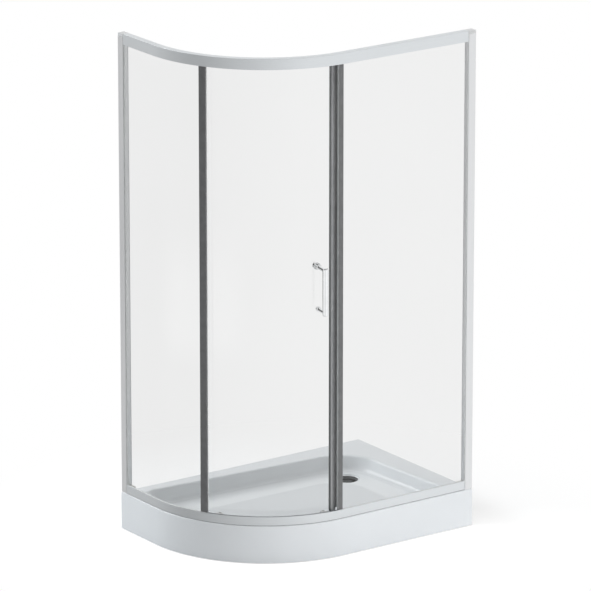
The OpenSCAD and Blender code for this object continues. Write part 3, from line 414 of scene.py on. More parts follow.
def ring_mesh(name, rings, join_ends):
    """A closed mesh of rings of points, each joined to the next."""
    rows, points = [], []
    for ring in rings:
        rows.append(range(len(points), len(points) + len(ring)))
        points += ring
    return mm_mesh(name, points, ring_faces(rows, join_ends))


def finished(mesh, *finishes):
    mesh.materials.clear()
    for finish in finishes:
        mesh.materials.append(finish)
    return mesh


def turned(name, profile, place=Matrix(), steps=64, *finishes):
    """Turns a profile of (radius, height) points about the place's own z axis, as on a lathe."""
    rings = [[place @ (plan_way(360 * k / steps) * r + Vector((0, 0, h)))
              for k in range(steps if r > 1e-6 else 1)] for r, h in profile]
    return finished(ring_mesh(name, rings, join_ends=len(rings[0]) > 1), *finishes)


def plain_mesh(maker, *helpers):
    """The mesh that an object's modifiers make; the object and its helpers go."""
    bpy.context.view_layer.update()
    ready = maker.evaluated_get(bpy.context.evaluated_depsgraph_get())
    mesh = bpy.data.meshes.new_from_object(ready)
    for scratch in (maker, *helpers):
        bpy.data.objects.remove(scratch)
    return mesh


def cut(mesh, tool, operation="DIFFERENCE"):
    """The mesh after a boolean with a second mesh."""
    base, knife = placed("base", mesh), placed("knife", tool)
    boolean = base.modifiers.new("cut", "BOOLEAN")
    boolean.object, boolean.operation, boolean.solver = knife, operation, "EXACT"
    boolean.material_mode = "TRANSFER"
    return plain_mesh(base, knife)


def set_in(name, mesh, stands_for=None, smooth=32):
    """Puts a finished mesh in its place, on the body of the CAD solid that it stands for."""
    mesh.polygons.foreach_set("use_smooth", [True] * len(mesh.polygons))
    mesh.set_sharp_from_angle(angle=math.radians(smooth))
    mesh.name = name if stands_for else name + "_finished"
    piece = placed(mesh.name, mesh)
    piece.modifiers.new("even_shading", "WEIGHTED_NORMAL").keep_sharp = True
    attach(piece, frame["nodes"][stands_for or name]["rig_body"])
    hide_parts(stands_for or name)
    return piece


# Broad soft changes over a surface, for colour, roughness or height
limits = [("Low", "Float", 0.0), ("High", "Float", 1.0)]
soft_mottle, ends_in, ends_out = node_group(
    "Shader", "soft_mottle", [("Place", "Vector"), ("Scale", "Float", 10.0), *limits],
    [("Amount", "Float")])
place, scale, low, high = list(ends_in.outputs)[:4]
cloud = add(soft_mottle, "ShaderNodeTexNoise", {"Vector": place, "Scale": scale, "Detail": 3.0})
soft_mottle.links.new(ramp(soft_mottle, cloud.outputs[0], 0.3, 0.7, low, high, "LINEAR"),
                      ends_out.inputs["Amount"])


def new_finish(name, **plain):
    """A new material: itself, its tree, its shader, and a point's place in the part's frame."""
    material = bpy.data.materials.new(name)
    material.use_nodes = True
    tree = material.node_tree
    shader = tree.nodes["Principled BSDF"]
    for key, value in plain.items():
        shader.inputs[key.replace("_", " ")].default_value = value
    return material, tree, shader, add(tree, "ShaderNodeTexCoord").outputs["Object"]


def mottle(tree, place, scale, low=0.0, high=1.0):
    return add(tree, "ShaderNodeGroup", {"Place": place, "Scale": scale, "Low": low, "High": high},
               node_tree=soft_mottle).outputs[0]


def two_tone(tree, shader, share, first, second):
    """Gives the base colour as a blend of two tones."""
    mix = add(tree, "ShaderNodeMix", {0: share, 6: (*first, 1), 7: (*second, 1)},
              data_type="RGBA")
    tree.links.new(mix.outputs[2], shader.inputs["Base Color"])


def relief(tree, shader, height, strength, distance):
    bump = add(tree, "ShaderNodeBump", {"Height": height, "Strength": strength,
                                        "Distance": distance})
    tree.links.new(bump.outputs[0], shader.inputs["Normal"])


def grain(tree, shader, place, rough, bumps):
    """Soft changes of roughness (scale, least, most) and of height (scale, strength, depth)."""
    tree.links.new(mottle(tree, place, *rough), shader.inputs["Roughness"])
    relief(tree, shader, mottle(tree, place, bumps[0]), *bumps[1:])


def mottled(name, dark, light, tone_scale, rough, bumps, **plain):
    """A material with a grain, whose tone changes softly too."""
    material, tree, shader, place = new_finish(name, **plain)
    two_tone(tree, shader, mottle(tree, place, tone_scale), dark, light)
    grain(tree, shader, place, rough, bumps)
    return material


sheet_rough, sheet_bumps = (14.0, 0.10, 0.17), (60.0, 0.05, 0.0006)
white_acrylic = mottled("white_acrylic", (0.82, 0.85, 0.875), (0.84, 0.87, 0.895), 5.0,
                        sheet_rough, sheet_bumps)

# On the basin's floor the flat pan is painted a shade darker and the band that slopes down to it a
# shade lighter, in the same acrylic: painted light and shade, as light falls on them
floor_acrylic, tree, shader, place = new_finish("floor_acrylic")
height = height_of(tree, place)
band_painted_lighter = reckoned(tree, "MINIMUM", ramp(tree, height, pan_z * mm, (pan_z + 0.7) * mm, 0.0, 1.0),
                   ramp(tree, height, (band_high - 1) * mm, band_high * mm, 1.0, 0.3))
two_tone(tree, shader, reckoned(tree, "MULTIPLY", band_painted_lighter, mottle(tree, place, 5.0, 0.9, 1.0)),
         (0.785, 0.815, 0.84), (0.90, 0.93, 0.95))
grain(tree, shader, place, sheet_rough, sheet_bumps)

laminate, tree, shader, place = new_finish("glass_fibre_laminate")
strands = add(tree, "ShaderNodeTexNoise", {"Vector": place, "Scale": 70.0, "Detail": 6.0,
                                           "Distortion": 3.0})
two_tone(tree, shader, strands.outputs[0], (0.55, 0.53, 0.43), (0.82, 0.81, 0.74))
tree.links.new(mottle(tree, place, 40.0, 0.35, 0.6), shader.inputs["Roughness"])
relief(tree, shader, strands.outputs[0], 0.6, 0.002)

# The bore shows raw resin; its dark grey is partly painted shade inside the hole, and it goes near
# black further down, a painted shade
bare_resin, tree, shader, place = new_finish("bare_resin")
painted_daylight = ramp(tree, height_of(tree, place), (collar_foot + 4) * mm, (collar_foot + 9) * mm, 0, 1)
two_tone(tree, shader, reckoned(tree, "MULTIPLY", mottle(tree, place, 90.0, 0.85, 1.0), painted_daylight),
         (0.01, 0.01, 0.012), (0.19, 0.195, 0.20))
grain(tree, shader, place, (60.0, 0.4, 0.6), (260.0, 0.3, 0.0006))

# The moulding, then its back, and then the trimmed foot and the two flats in the middle
rows = [range(k * plan_size, (k + 1) * plan_size) for k in range(len(rings))]
face_quads = ring_faces(rows[:face_rings], join_ends=False)
back_quads = ring_faces(rows[face_rings:], join_ends=False)
foot_quads = ring_faces([rows[-1], rows[0]], join_ends=False)
tray = mm_mesh("tray", [p for ring in rings for p in ring],
               face_quads + back_quads + foot_quads
               + [tuple(rows[face_rings - 1]), tuple(rows[face_rings])[::-1]])
tray = finished(tray, white_acrylic, laminate, floor_acrylic)
above_floor = band_ring * plan_size
tray.polygons.foreach_set("material_index",
                          [0] * above_floor + [2] * (len(face_quads) - above_floor)
                          + [1] * len(back_quads) + [0] * len(foot_quads) + [2, 1])
at_waste = Matrix.Translation((waste_x, waste_y, 0))
collar_r = waste_r + sheet_t
collar = [(0, collar_foot), (collar_r, collar_foot), (collar_r, pan_z - 1), (0, pan_z - 1)]
waste_bore = [(0, collar_foot - 2), (waste_r, collar_foot - 2), (waste_r, pan_z - 3),
              (waste_r + 0.3, pan_z - 0.6), (waste_r + 0.9, pan_z), (seat_r, pan_z),
              (seat_r + 2.5, pan_z + 8), (0, pan_z + 8)]
tray = cut(tray, turned("collar", collar, at_waste, 96, white_acrylic), "UNION")
bore = turned("waste_bore", waste_bore, at_waste, 96, bare_resin, white_acrylic)
for face in bore.polygons:
    face.material_index = int(face.center.z * metre > pan_z - 0.7)
tray = cut(tray, bore)
set_in("tray", tray, "tray_shell")


# The board, frame and legs
# A chipboard panel stiffens the tray's floor. It is screwed to a welded frame of galvanised
# square tube, which stands on seven threaded legs with lock nuts and rubber pads.

leg_spots = [(x, y) for x in (-290, 450) for y in (-275, 320)] + [(0, -275), (0, 0), (-435, 215)]
screw_spots = [(x, y) for x in (-200, 150, 400) for y in (-180, 215)]


def eased(node, finish, ease):
    """A copy of a CAD solid's mesh with its edges eased."""
    shape = bmesh.new()
    shape.from_mesh(frame["nodes"][node].data)
    bmesh.ops.remove_doubles(shape, verts=shape.verts, dist=2e-6)
    bmesh.ops.dissolve_limit(shape, angle_limit=math.radians(0.4), verts=shape.verts,
                             edges=shape.edges)
    least_turn = math.radians(30)
    sharp = [edge for edge in shape.edges if len(edge.link_faces) == 2 and edge.is_convex
             and edge.calc_face_angle(0) > least_turn]
    bmesh.ops.bevel(shape, geom=sharp, offset=ease * mm, offset_type="OFFSET", segments=2,
                    profile=0.5, affect="EDGES", clamp_overlap=True)
    mesh = bpy.data.meshes.new(node + "_eased")
    shape.to_mesh(mesh)
    shape.free()
    return finished(mesh, finish)


def set_in_eased(finish, slot, ease, *nodes):
    """Puts in the meshes of CAD solids with their edges eased."""
    for node in nodes:
        set_in(node, eased(node, finish, ease))


def growing_tree(name, helper):
    """A Geometry Nodes tree with two named inputs: a helper object and a finish."""
    tree, ends_in, ends_out = node_group(
        "Geometry", name, [("Geometry", "Geometry"), (helper, "Object"), ("Finish", "Material")],
        [("Geometry", "Geometry")])
    shape = add(tree, "GeometryNodeObjectInfo", {"Object": ends_in.outputs[helper]})
    return tree, ends_in, ends_out, shape.outputs["Geometry"]


def end_tree(tree, ends_in, ends_out, shape):
    """The end of each tree: its instances are made real and get the finish."""
    real = add(tree, "GeometryNodeRealizeInstances", {"Geometry": shape})
    painted = add(tree, "GeometryNodeSetMaterial",
                  {"Geometry": real.outputs[0], "Material": ends_in.outputs["Finish"]})
    tree.links.new(painted.outputs[0], ends_out.inputs[0])


def grown(maker, tree, values, *helpers):
    """Runs a Geometry Nodes tree on an object and returns the plain mesh."""
    steps = maker.modifiers.new(tree.name, "NODES")
    steps.node_group = tree
    for socket in tree.interface.items_tree:
        if socket.name in values:
            steps[socket.identifier] = values[socket.name]
    return plain_mesh(maker, *helpers)


# Sets a copy of a small part on each point, turned as the point's "turn" says
set_out, ends_in, ends_out, part = growing_tree("set_out", "Part")
turn = add(set_out, "GeometryNodeInputNamedAttribute", {"Name": "turn"}, data_type="FLOAT_VECTOR")
copies = add(set_out, "GeometryNodeInstanceOnPoints",
             {"Points": ends_in.outputs["Geometry"], "Instance": part,
              "Rotation": turn.outputs["Attribute"]})
end_tree(set_out, ends_in, ends_out, copies.outputs[0])


def repeated(part_mesh, places, finish):
    """Copies of a small part at each place, given as a matrix in millimetres."""
    points = bpy.data.meshes.new("places")
    points.from_pydata([place.translation * mm for place in places], [], [])
    turns = points.attributes.new("turn", "FLOAT_VECTOR", "POINT")
    for k, place in enumerate(places):
        turns.data[k].vector = place.to_euler()
    pattern = placed("pattern", part_mesh)
    mesh = grown(placed("places", points), set_out, {"Part": pattern, "Finish": finish}, pattern)
    return finished(mesh, finish)


def set_in_turned(name, finish, places, profile, steps=24, smooth=32):
    """Puts in a copy of a turned part at each place."""
    part = turned(name, profile, steps=steps)
    set_in(name, repeated(part, places, finish), smooth=smooth)


def upright_at(spots, z):
    return [Matrix.Translation((x, y, z)) for x, y in spots]


def rod_profile(r, low, high, pitch, depth):
    """A threaded rod's profile, with a ridge for each turn of its thread."""
    profile = [(0, low), (r - depth, low)]
    for k in range(int((high - low) / pitch)):
        z = low + pitch * k
        profile += [(r - depth, z + pitch * 0.1), (r, z + pitch * 0.45), (r, z + pitch * 0.6)]
    return profile + [(r - depth, high - pitch * 0.05), (r - depth * 2, high), (0, high)]


def hex_nut(corner_r, bore, height, ease):
    """A six-sided nut with chamfered corners and a plain bore."""
    sides, per_side = 6, 4
    corners = [plan_way(360 * k / sides) * corner_r for k in range(sides + 1)]
    outline = [corners[k].lerp(corners[k + 1], step / per_side)
               for k in range(sides) for step in range(per_side)]
    rings = [[p * min(1, corner_r * share / p.length) + Vector((0, 0, z)) for p in outline]
             for share, z in ((0.9, 0), (1, ease), (1, height - ease), (0.9, height))]
    hole = [plan_way(360 * k / len(outline)) * bore for k in range(len(outline))]
    rings += [[p + Vector((0, 0, z)) for p in hole] for z in (height, 0)]
    return ring_mesh("nut", rings, join_ends=True)


chipboard, tree, shader, place = new_finish("chipboard", Roughness=0.75)
chips = add(tree, "ShaderNodeTexVoronoi", {"Vector": place, "Scale": 220.0, "Randomness": 1.0})
chip_tone = add(tree, "ShaderNodeSeparateColor", {0: chips.outputs["Color"]})
two_tone(tree, shader, chip_tone.outputs[0], (0.46, 0.33, 0.19), (0.72, 0.58, 0.40))
relief(tree, shader, chip_tone.outputs[1], 0.35, 0.0006)

galvanised, tree, shader, place = new_finish("galvanised", Metallic=1.0)
spangle = add(tree, "ShaderNodeTexVoronoi", {"Vector": place, "Scale": 95.0})
flake = add(tree, "ShaderNodeSeparateColor", {0: spangle.outputs["Color"]})
two_tone(tree, shader, flake.outputs[0], (0.50, 0.52, 0.54), (0.66, 0.68, 0.70))
tree.links.new(ramp(tree, flake.outputs[1], 0.0, 1.0, 0.3, 0.5, "LINEAR"),
               shader.inputs["Roughness"])
relief(tree, shader, mottle(tree, place, 180.0), 0.12, 0.0004)

black_rubber = mottled("black_rubber", (0.025, 0.025, 0.027), (0.045, 0.045, 0.048), 60.0,
                       (120.0, 0.55, 0.75), (900.0, 0.2, 0.0002))
zinc_steel = mottled("zinc_steel", (0.55, 0.56, 0.57), (0.68, 0.69, 0.69), 90.0,
                     (160.0, 0.22, 0.38), (500.0, 0.08, 0.0002), Metallic=1.0)

set_in_eased(chipboard, "board", 0.8, "base_board")
set_in_eased(galvanised, "zinc_steel", 0.8, "frame_tubes")
rod = rod_profile(r=5, low=4, high=79, pitch=1.5, depth=0.45)
set_in_turned("leg_studs", zinc_steel, upright_at(leg_spots, 0), rod, smooth=20)
nut = hex_nut(corner_r=9.8, bore=5.05, height=8, ease=1.0)
nut_spots = [spot for z in (52, 14) for spot in upright_at(leg_spots, z)]
set_in("leg_nuts", repeated(nut, nut_spots, zinc_steel))
pad = [(0, 0), (23.5, 0), (25, 1.5), (25, 4.5), (24, 6), (11.5, 6.5), (9.4, 8), (9, 13.2),
       (8.2, 14), (5.1, 14), (5.1, 4), (0, 4)]
set_in_turned("leg_pads", black_rubber, upright_at(leg_spots, 0), pad, steps=48)
frame_screw = [(0, 57.5), (2.2, 57.5), (3.6, 58.2), (4, 59.4), (4, 60), (2, 60), (2, 90), (0, 93)]
set_in_turned("frame_screws", zinc_steel, upright_at(screw_spots, 0), frame_screw)
set_in_eased(zinc_steel, "zinc_steel", 0.5, "wall_hooks")


# The wall profiles and jambs
# Extruded channels of satin anodised aluminium are screwed to both walls. A narrower jamb slides
# in each, to take up a wall that leans, and is fixed with side screws under push-on caps.

# Fine drawn lines along one axis, as the die leaves them on an extrusion
drawn_lines, ends_in, ends_out = node_group(
    "Shader", "drawn_lines", [("Place", "Vector"), ("Stretch", "Vector", (1, 1, 1)), *limits],
    [("Amount", "Float")])
place, stretch, low, high = list(ends_in.outputs)[:4]
lines = add(drawn_lines, "ShaderNodeTexNoise",
            {"Vector": vector(drawn_lines, "MULTIPLY", place, stretch)[0], "Scale": 1.0,
             "Detail": 4.0, "Roughness": 0.6})
drawn_lines.links.new(ramp(drawn_lines, lines.outputs[0], 0.25, 0.75, low, high, "LINEAR"),
                      ends_out.inputs["Amount"])


def drawn(tree, place, stretch, low=0.0, high=1.0):
    return add(tree, "ShaderNodeGroup", {"Place": place, "Stretch": stretch, "Low": low,
                                         "High": high}, node_tree=drawn_lines).outputs[0]


def drawn_metal(name, dark, light, stretch, smoothest, roughest):
    """Anodised or brushed metal with its lines along the least stretched axis."""
    metal, tree, shader, place = new_finish(name, Metallic=1.0)
    two_tone(tree, shader, drawn(tree, place, stretch), dark, light)
    tree.links.new(drawn(tree, place, stretch, smoothest, roughest), shader.inputs["Roughness"])
    relief(tree, shader, drawn(tree, place, stretch), 0.06, 0.0002)
    return metal


upright_satin = drawn_metal("upright_satin", (0.80, 0.81, 0.82), (0.85, 0.86, 0.87),
                            (900, 900, 4), 0.36, 0.48)
level_satin = drawn_metal("level_satin", (0.735, 0.765, 0.785), (0.79, 0.82, 0.84),
                          (8, 8, 900), 0.28, 0.40)


def plastic(name, dark, light, smoothest, roughest, **plain):
    """Moulded plastic with a fine grain."""
    return mottled(name, dark, light, 40.0, (110.0, smoothest, roughest), (800.0, 0.08, 0.0002),
                   **plain)


grey_plastic = plastic("grey_plastic", (0.66, 0.665, 0.67), (0.71, 0.715, 0.72), 0.35, 0.5)
for side in ("left", "right"):
    set_in_eased(upright_satin, "satin_aluminium", 0.7, "wall_profile_" + side)
    set_in_eased(upright_satin, "satin_aluminium", 0.3, "jamb_" + side)
set_in_eased(grey_plastic, "grey_plastic", 0.8, "wall_profile_caps")

# The profiles, and the rails between them, stand a little in from the tray's edge
set_back, rail_deep, jamb_screw_out, jamb_screw_levels = 4.0, 30.0, 21.0, (300, 1130, 1960)
profile_inside = set_back + rail_deep
at_jambs = [Matrix.Translation((profile_inside - tray_x, tray_y - jamb_screw_out, z))
            @ Matrix.Rotation(math.pi / 2, 4, "Y") for z in jamb_screw_levels]
at_jambs += [Matrix.Translation((tray_x - jamb_screw_out, profile_inside - tray_y, z))
             @ Matrix.Rotation(-math.pi / 2, 4, "X") for z in jamb_screw_levels]
jamb_screw = [(0, -8), (1.4, -7), (2, -6), (2, 0), (4, 0), (4, 0.9), (2.6, 2.2), (1.6, 2.4),
              (1.4, 1.2), (0, 1.0)]
set_in_turned("jamb_screws", zinc_steel, at_jambs, jamb_screw)
push_cap = [(0, 2.7), (4.1, 2.6), (4.1, 0), (5.5, 0), (5.5, 2.4), (5.2, 3.3), (4.2, 3.9), (0, 4)]
set_in_turned("jamb_screw_caps", grey_plastic, at_jambs, push_cap, steps=32)


# The rails
# A top and a bottom rail of satin aluminium, each extruded and then rolled to the curve. They
# run from wall to wall, with a channel for the fixed glass and a track for the rollers behind.

rail_r, rail_x, rail_y = tray_r - set_back, set_back - tray_x, set_back - tray_y
rail_end_y, rail_end_x = 363.4, 563.4

# Carries the section's outline along a path
swept, ends_in, ends_out, section = growing_tree("swept", "Section")
bar = add(swept, "GeometryNodeCurveToMesh",
          {"Curve": ends_in.outputs["Geometry"], "Profile Curve": section, "Fill Caps": True})
end_tree(swept, ends_in, ends_out, bar.outputs[0])


def line_object(name, points, closed):
    line = bpy.data.curves.new(name, "CURVE")
    line.dimensions, line.twist_mode = "3D", "Z_UP"
    run = line.splines.new("POLY")
    run.points.add(len(points) - 1)
    for spot, p in zip(run.points, points):
        spot.co = (*(Vector(p) * mm), 1)
    run.use_cyclic_u = closed
    return placed(name, line)


def sweep(path, outline, finish):
    """A closed bar: an outline, given as (right of travel, down), carried along a path."""
    way = line_object("path", path, closed=False)
    shape = line_object("section", [(x, y, 0) for x, y in outline], closed=True)
    mesh = grown(way, swept, {"Section": shape, "Finish": finish}, shape)
    return finished(mended(mesh), finish)


def on_arc(radius, degrees, z=0.0):
    """A point at a plan angle about the centre of the curved front."""
    return Vector((arc_x, arc_y, z)) + plan_way(degrees) * radius


def front_path(from_y, last=270.0, to_x=None):
    """The rail face's line from the back wall, round the curve and, if asked, on to the right."""
    path, steps = [Vector((rail_x, from_y, 0))], round(last - 180)
    path += [on_arc(rail_r, 180 + (last - 180) * k / steps) for k in range(steps + 1)]
    return path + ([] if to_x is None else [Vector((to_x, rail_y, 0))])


def rounded(corners, ease, steps):
    """A closed outline with each corner rounded."""
    outline = []
    for k, corner in enumerate(corners):
        p, a, b = Vector(corner), Vector(corners[k - 1]), Vector(corners[(k + 1) % len(corners)])
        r = min(ease, (a - p).length * 0.45, (b - p).length * 0.45)
        start, end = p + (a - p).normalized() * r, p + (b - p).normalized() * r
        outline += [start.lerp(p, t).lerp(p.lerp(end, t), t)
                    for t in (j / steps for j in range(steps + 1))]
    return outline


def section_outline(corners, ease, foot=0.0):
    """The outline of a section; its corners are (in from the rail face, height from the foot)."""
    return [(-q.x, -q.y - foot) for q in rounded(corners, ease, 3)]


def outward_at(p):
    """The direction that the front faces at a point in metres."""
    x, y = p.x * metre - arc_x, p.y * metre - arc_y
    if y >= 0:
        return Vector((-1, 0, 0))
    return Vector((0, -1, 0)) if x >= 0 else Vector((x, y, 0)).normalized()


# Heights are from each rail's foot. The glass stands in front of the web and the track is behind
rail_t, web_front, web_back, web_high, track_in, track_lip = 2, 13.2, 15, 36, rail_deep - 2, 7
front_high, channel_floor, top_rail_foot, top_rail_high = 38, 3, 2056, 44
roof, roof_lip = top_rail_high - rail_t, 35
# The bottom rail's front edge stands on a strip that is set back a little and painted black: a dark
# strip of sealant, and painted shade in the gap
dark_strip_high, dark_strip_back = 1.3, 1.2
bottom_section = [(0, dark_strip_high), (dark_strip_back, dark_strip_high), (dark_strip_back, 0), (rail_deep, 0),
                  (rail_deep, track_lip), (track_in, track_lip), (track_in, rail_t),
                  (web_back, rail_t), (web_back, web_high), (web_front, web_high),
                  (web_front, channel_floor), (rail_t, channel_floor), (rail_t, front_high),
                  (0, front_high)]
top_section = [(0, 0), (rail_t, 0), (rail_t, roof), (web_front, roof), (web_front, 0),
               (rail_deep, 0), (rail_deep, track_lip), (track_in, track_lip), (track_in, rail_t),
               (web_back, rail_t), (web_back, roof), (track_in, roof), (track_in, roof_lip),
               (rail_deep, roof_lip), (rail_deep, top_rail_high), (0, top_rail_high)]
whole_front = front_path(rail_end_y, to_x=rail_end_x)
for name, corners, rail_foot in (("bottom_rail", bottom_section, tray_top),
                                 ("top_rail", top_section, top_rail_foot)):
    rail = sweep(whole_front, section_outline(corners, ease=0.6, foot=rail_foot), level_satin)
    # The faces of the set-back strip get black rubber: painted shade, that also stands for sealant
    rail.materials.append(black_rubber)
    for face in rail.polygons:
        low = face.center.z * metre < tray_top + dark_strip_high
        face.material_index = int(low and face.normal.dot(outward_at(face.center)) > 0.7)
    set_in(name, rail, smooth=40)


# The small fixings of the rails
# A nylon block in each rail end takes the screw from the jamb. Setting blocks carry the glass in
# its channel, and a rubber stop in the left end of the top track catches the first wheel.

nylon = plastic("nylon", (0.74, 0.735, 0.70), (0.80, 0.795, 0.77), 0.35, 0.5)
set_in_eased(nylon, "nylon", 0.5, "rail_end_blocks")
set_in_eased(zinc_steel, "zinc_steel", 0.3, "rail_end_screws")
set_in_eased(grey_plastic, "grey_plastic", 0.4, "setting_blocks")
set_in_eased(black_rubber, "black_rubber", 1.0, "door_stops")


# The fixed glass
# Two panes of clear 6 mm toughened glass with ground and polished edges: a bent one at the left
# and a flat one at the right. They stand in the rails and in the jambs between vinyl gaskets.

glass_in, glass_t, glass_low, glass_high = 5.0, 6.0, 168.0, 2082.0
pane_left_end, pane_right_start = 208.6, -71.4
pane_reach_y, pane_reach_x = 387.5, 587.5


def glass_finish(name, tint, smoothest, roughest):
    """Clear glass with faint water marks; it lets light through to what stands behind."""
    material = mottled(name, tint, [c + 0.008 for c in tint], 2.0, (25.0, smoothest, roughest),
                       (3.0, 0.02, 0.0005), Transmission_Weight=1.0, IOR=1.42)
    tree = material.node_tree
    ray = add(tree, "ShaderNodeLightPath").outputs
    unseen = reckoned(tree, "MAXIMUM", ray["Is Shadow Ray"], ray["Is Diffuse Ray"])
    passing = add(tree, "ShaderNodeBsdfTransparent", {"Color": (0.93, 0.94, 0.935, 1)})
    either = blend(tree, unseen, tree.nodes["Principled BSDF"], passing)
    tree.links.new(either.outputs[0], tree.nodes["Material Output"].inputs["Surface"])
    return material


clear_glass = glass_finish("clear_glass", (0.862, 0.864, 0.863), 0.0, 0.015)
glass_edge = glass_finish("glass_edge", (0.42, 0.60, 0.53), 0.05, 0.15)
# Vinyl of the gaskets and seals, whiter and less clear than clear vinyl: partly painted light in the
# shaded gaps where they sit
clear_vinyl = plastic("clear_vinyl", (0.86, 0.87, 0.87), (0.90, 0.91, 0.91), 0.15, 0.3,
                      Transmission_Weight=0.08, IOR=1.45)


def glazed(mesh):
    """Clear faces, and the greener look of the cut edges."""
    mesh = finished(mesh, clear_glass, glass_edge)
    for face in mesh.polygons:
        face.material_index = int(abs(face.normal.dot(outward_at(face.center))) < 0.7)
    return mesh


def lip_out(mesh, at_edge, reach):
    """Draws out a gasket's soft lip along its edge, in millimetres, on the outside only."""
    for point in mesh.vertices:
        p = point.co * metre
        in_from_rail_face = rail_r - math.hypot(min(p.x - arc_x, 0), min(p.y - arc_y, 0))
        if at_edge(p) and in_from_rail_face < 6:
            point.co += Vector(reach) * mm
    return mesh


pane_outline = section_outline([(glass_in, glass_low), (glass_in + glass_t, glass_low),
                                (glass_in + glass_t, glass_high), (glass_in, glass_high)],
                               ease=0.8)
bent_path = front_path(pane_reach_y, last=pane_left_end)
flat_path = [Vector((pane_right_start, rail_y, 0)), Vector((pane_reach_x, rail_y, 0))]
for side, path in (("left", bent_path), ("right", flat_path)):
    set_in("fixed_glass_" + side, glazed(sweep(path, pane_outline, clear_glass)),
           smooth=20)

# For each gasket: how far its edges are eased, where its lip is, and how far that is drawn out
for node, ease, at_edge, reach in (
        ("glazing_gasket_left", 0.3, lambda p: p.y < 367, (0, -4.2, 0)),
        ("glazing_gasket_right", 0.3, lambda p: p.x < 567, (-3.0, 0, 0)),
        ("rail_gaskets", 0.4, lambda p: tray_top + web_high < p.z < 300, (0, 0, 1.5))):
    set_in(node, lip_out(eased(node, clear_vinyl, ease), at_edge, reach))


# The strips on the glass edges
# Dark coated profiles are pushed over the free edges of the fixed panes. They hold a magnetic
# strip where the door closes and a soft clear fin where the panes pass.

dark_coating = plastic("dark_coating", (0.140, 0.142, 0.145), (0.170, 0.172, 0.175), 0.28, 0.40)
light_lip = plastic("light_lip", (0.50, 0.51, 0.52), (0.58, 0.59, 0.60), 0.3, 0.45)
# A light grey vinyl, made lighter still: painted light in the shaded recess where the door closes
magnet_vinyl = plastic("magnet_vinyl", (0.66, 0.67, 0.68), (0.72, 0.73, 0.74), 0.3, 0.45)


def with_lip(mesh, on_lip):
    """Gives some faces a lighter finish: a soft lip's, and painted light on faces in shade; each is
    told by its middle, in mm.
    """
    mesh.materials.append(light_lip)
    for face in mesh.polygons:
        face.material_index = int(on_lip(face.center * metre, face.normal))
    return mesh


set_in_eased(dark_coating, "grey_aluminium", 0.4, "edge_profile_left")
set_in("edge_profile_right", with_lip(eased("edge_profile_right", dark_coating, 0.4),
                                      lambda p, way: p.x < -74 and way.x < -0.5))
set_in_eased(clear_vinyl, "seal_clear", 0.4, "edge_seal_left")
set_in_eased(magnet_vinyl, "magnet_grey", 0.8, "magnet_strip_fixed", "magnet_strip_door")


# The door glass
# One bent pane of the same glass, with six drilled holes: four for the rollers and two for the
# handle. It hangs from the top rollers and slides round behind the left pane.

door_r_in, door_r_out, door_low, door_high = 505.0, 511.0, 168.0, 2086.0
door_start, door_end, roller_at, handle_at = 205.3, 267.5, (213.5, 262.0), 259.5
hanger_z, carrier_z, handle_levels = 2070.3, 183.5, (1048.5, 1223.5)
door_holes = [(a, z, 8.0) for a in roller_at for z in (hanger_z, carrier_z)]
door_holes += [(handle_at, z, 5.0) for z in handle_levels]


def door_pane():
    """The bent pane with its round holes: a flat net of it, wrapped on to the curve."""
    degree, hole_steps = math.radians((door_r_in + door_r_out) / 2), 32
    net, lines = [], []

    def outline(points):
        first = len(net)
        net.extend(points)
        lines.extend((first + k, first + (k + 1) % len(points)) for k in range(len(points)))

    outline([Vector((a * degree, z)) for a, z in ((door_start, door_low), (door_end, door_low),
                                                  (door_end, door_high), (door_start, door_high))])
    for a in range(math.ceil(door_start), math.floor(door_end) + 1):
        net.extend((Vector((a * degree, door_low)), Vector((a * degree, door_high))))
        lines.append((len(net) - 2, len(net) - 1))
    for a, z, r in door_holes:
        middle = Vector((a * degree, z))
        outline([middle + plan_way(360 * k / hole_steps).xy * r for k in range(hole_steps)])
    net, _, faces, *_ = delaunay_2d_cdt(net, lines, [], 1, 1e-4)
    kept = []
    for face in faces:
        middle = sum((net[k] for k in face), Vector((0, 0))) / len(face)
        if all(math.hypot(middle.x - a * degree, middle.y - z) > r * 0.98 for a, z, r in door_holes):
            kept.append(tuple(face))
    used = Counter(frozenset((face[k], face[k - 1])) for face in kept for k in range(len(face)))
    rim = [tuple(edge) for edge, times in used.items() if times == 1]
    points = [on_arc(r, p.x / degree, p.y) for r in (door_r_out, door_r_in) for p in net]
    n = len(net)
    return mm_mesh("pane", points, kept + [tuple(k + n for k in face)[::-1] for face in kept]
                   + [(a, b, b + n, a + n) for a, b in rim])


set_in("door_glass", glazed(door_pane()), smooth=20)
# A lighter copy of the dark coating: painted light against the shade that the fixed strip casts on
# the door's profile
door_coating = plastic("door_coating", (0.19, 0.195, 0.20), (0.22, 0.225, 0.23), 0.28, 0.40)
# Past the bead the door profile's faces, shaded by the fixed strip, get the lighter finish too:
# painted light
set_in("door_edge_profile", with_lip(eased("door_edge_profile", door_coating, 0.5),
                                     lambda p, way: math.hypot(p.x - arc_x, p.y - arc_y)
                                     > (512.5 if p.x > -86 else 514.2)))
set_in_eased(clear_vinyl, "seal_clear", 0.3, "door_rear_seal")


# The top rollers
# Each hanger is a pressed steel plate with two nylon wheels on riveted axles. An eccentric bolt
# through the glass, under a chromed cap, sets the height of the door.

brushed_steel = drawn_metal("brushed_steel", (0.56, 0.56, 0.555), (0.66, 0.66, 0.655),
                            (900, 900, 30), 0.22, 0.36)
chrome = mottled("chrome", (0.90, 0.91, 0.92), (0.95, 0.96, 0.97), 35.0, (45.0, 0.02, 0.06),
                 (60.0, 0.02, 0.0002), Metallic=1.0)

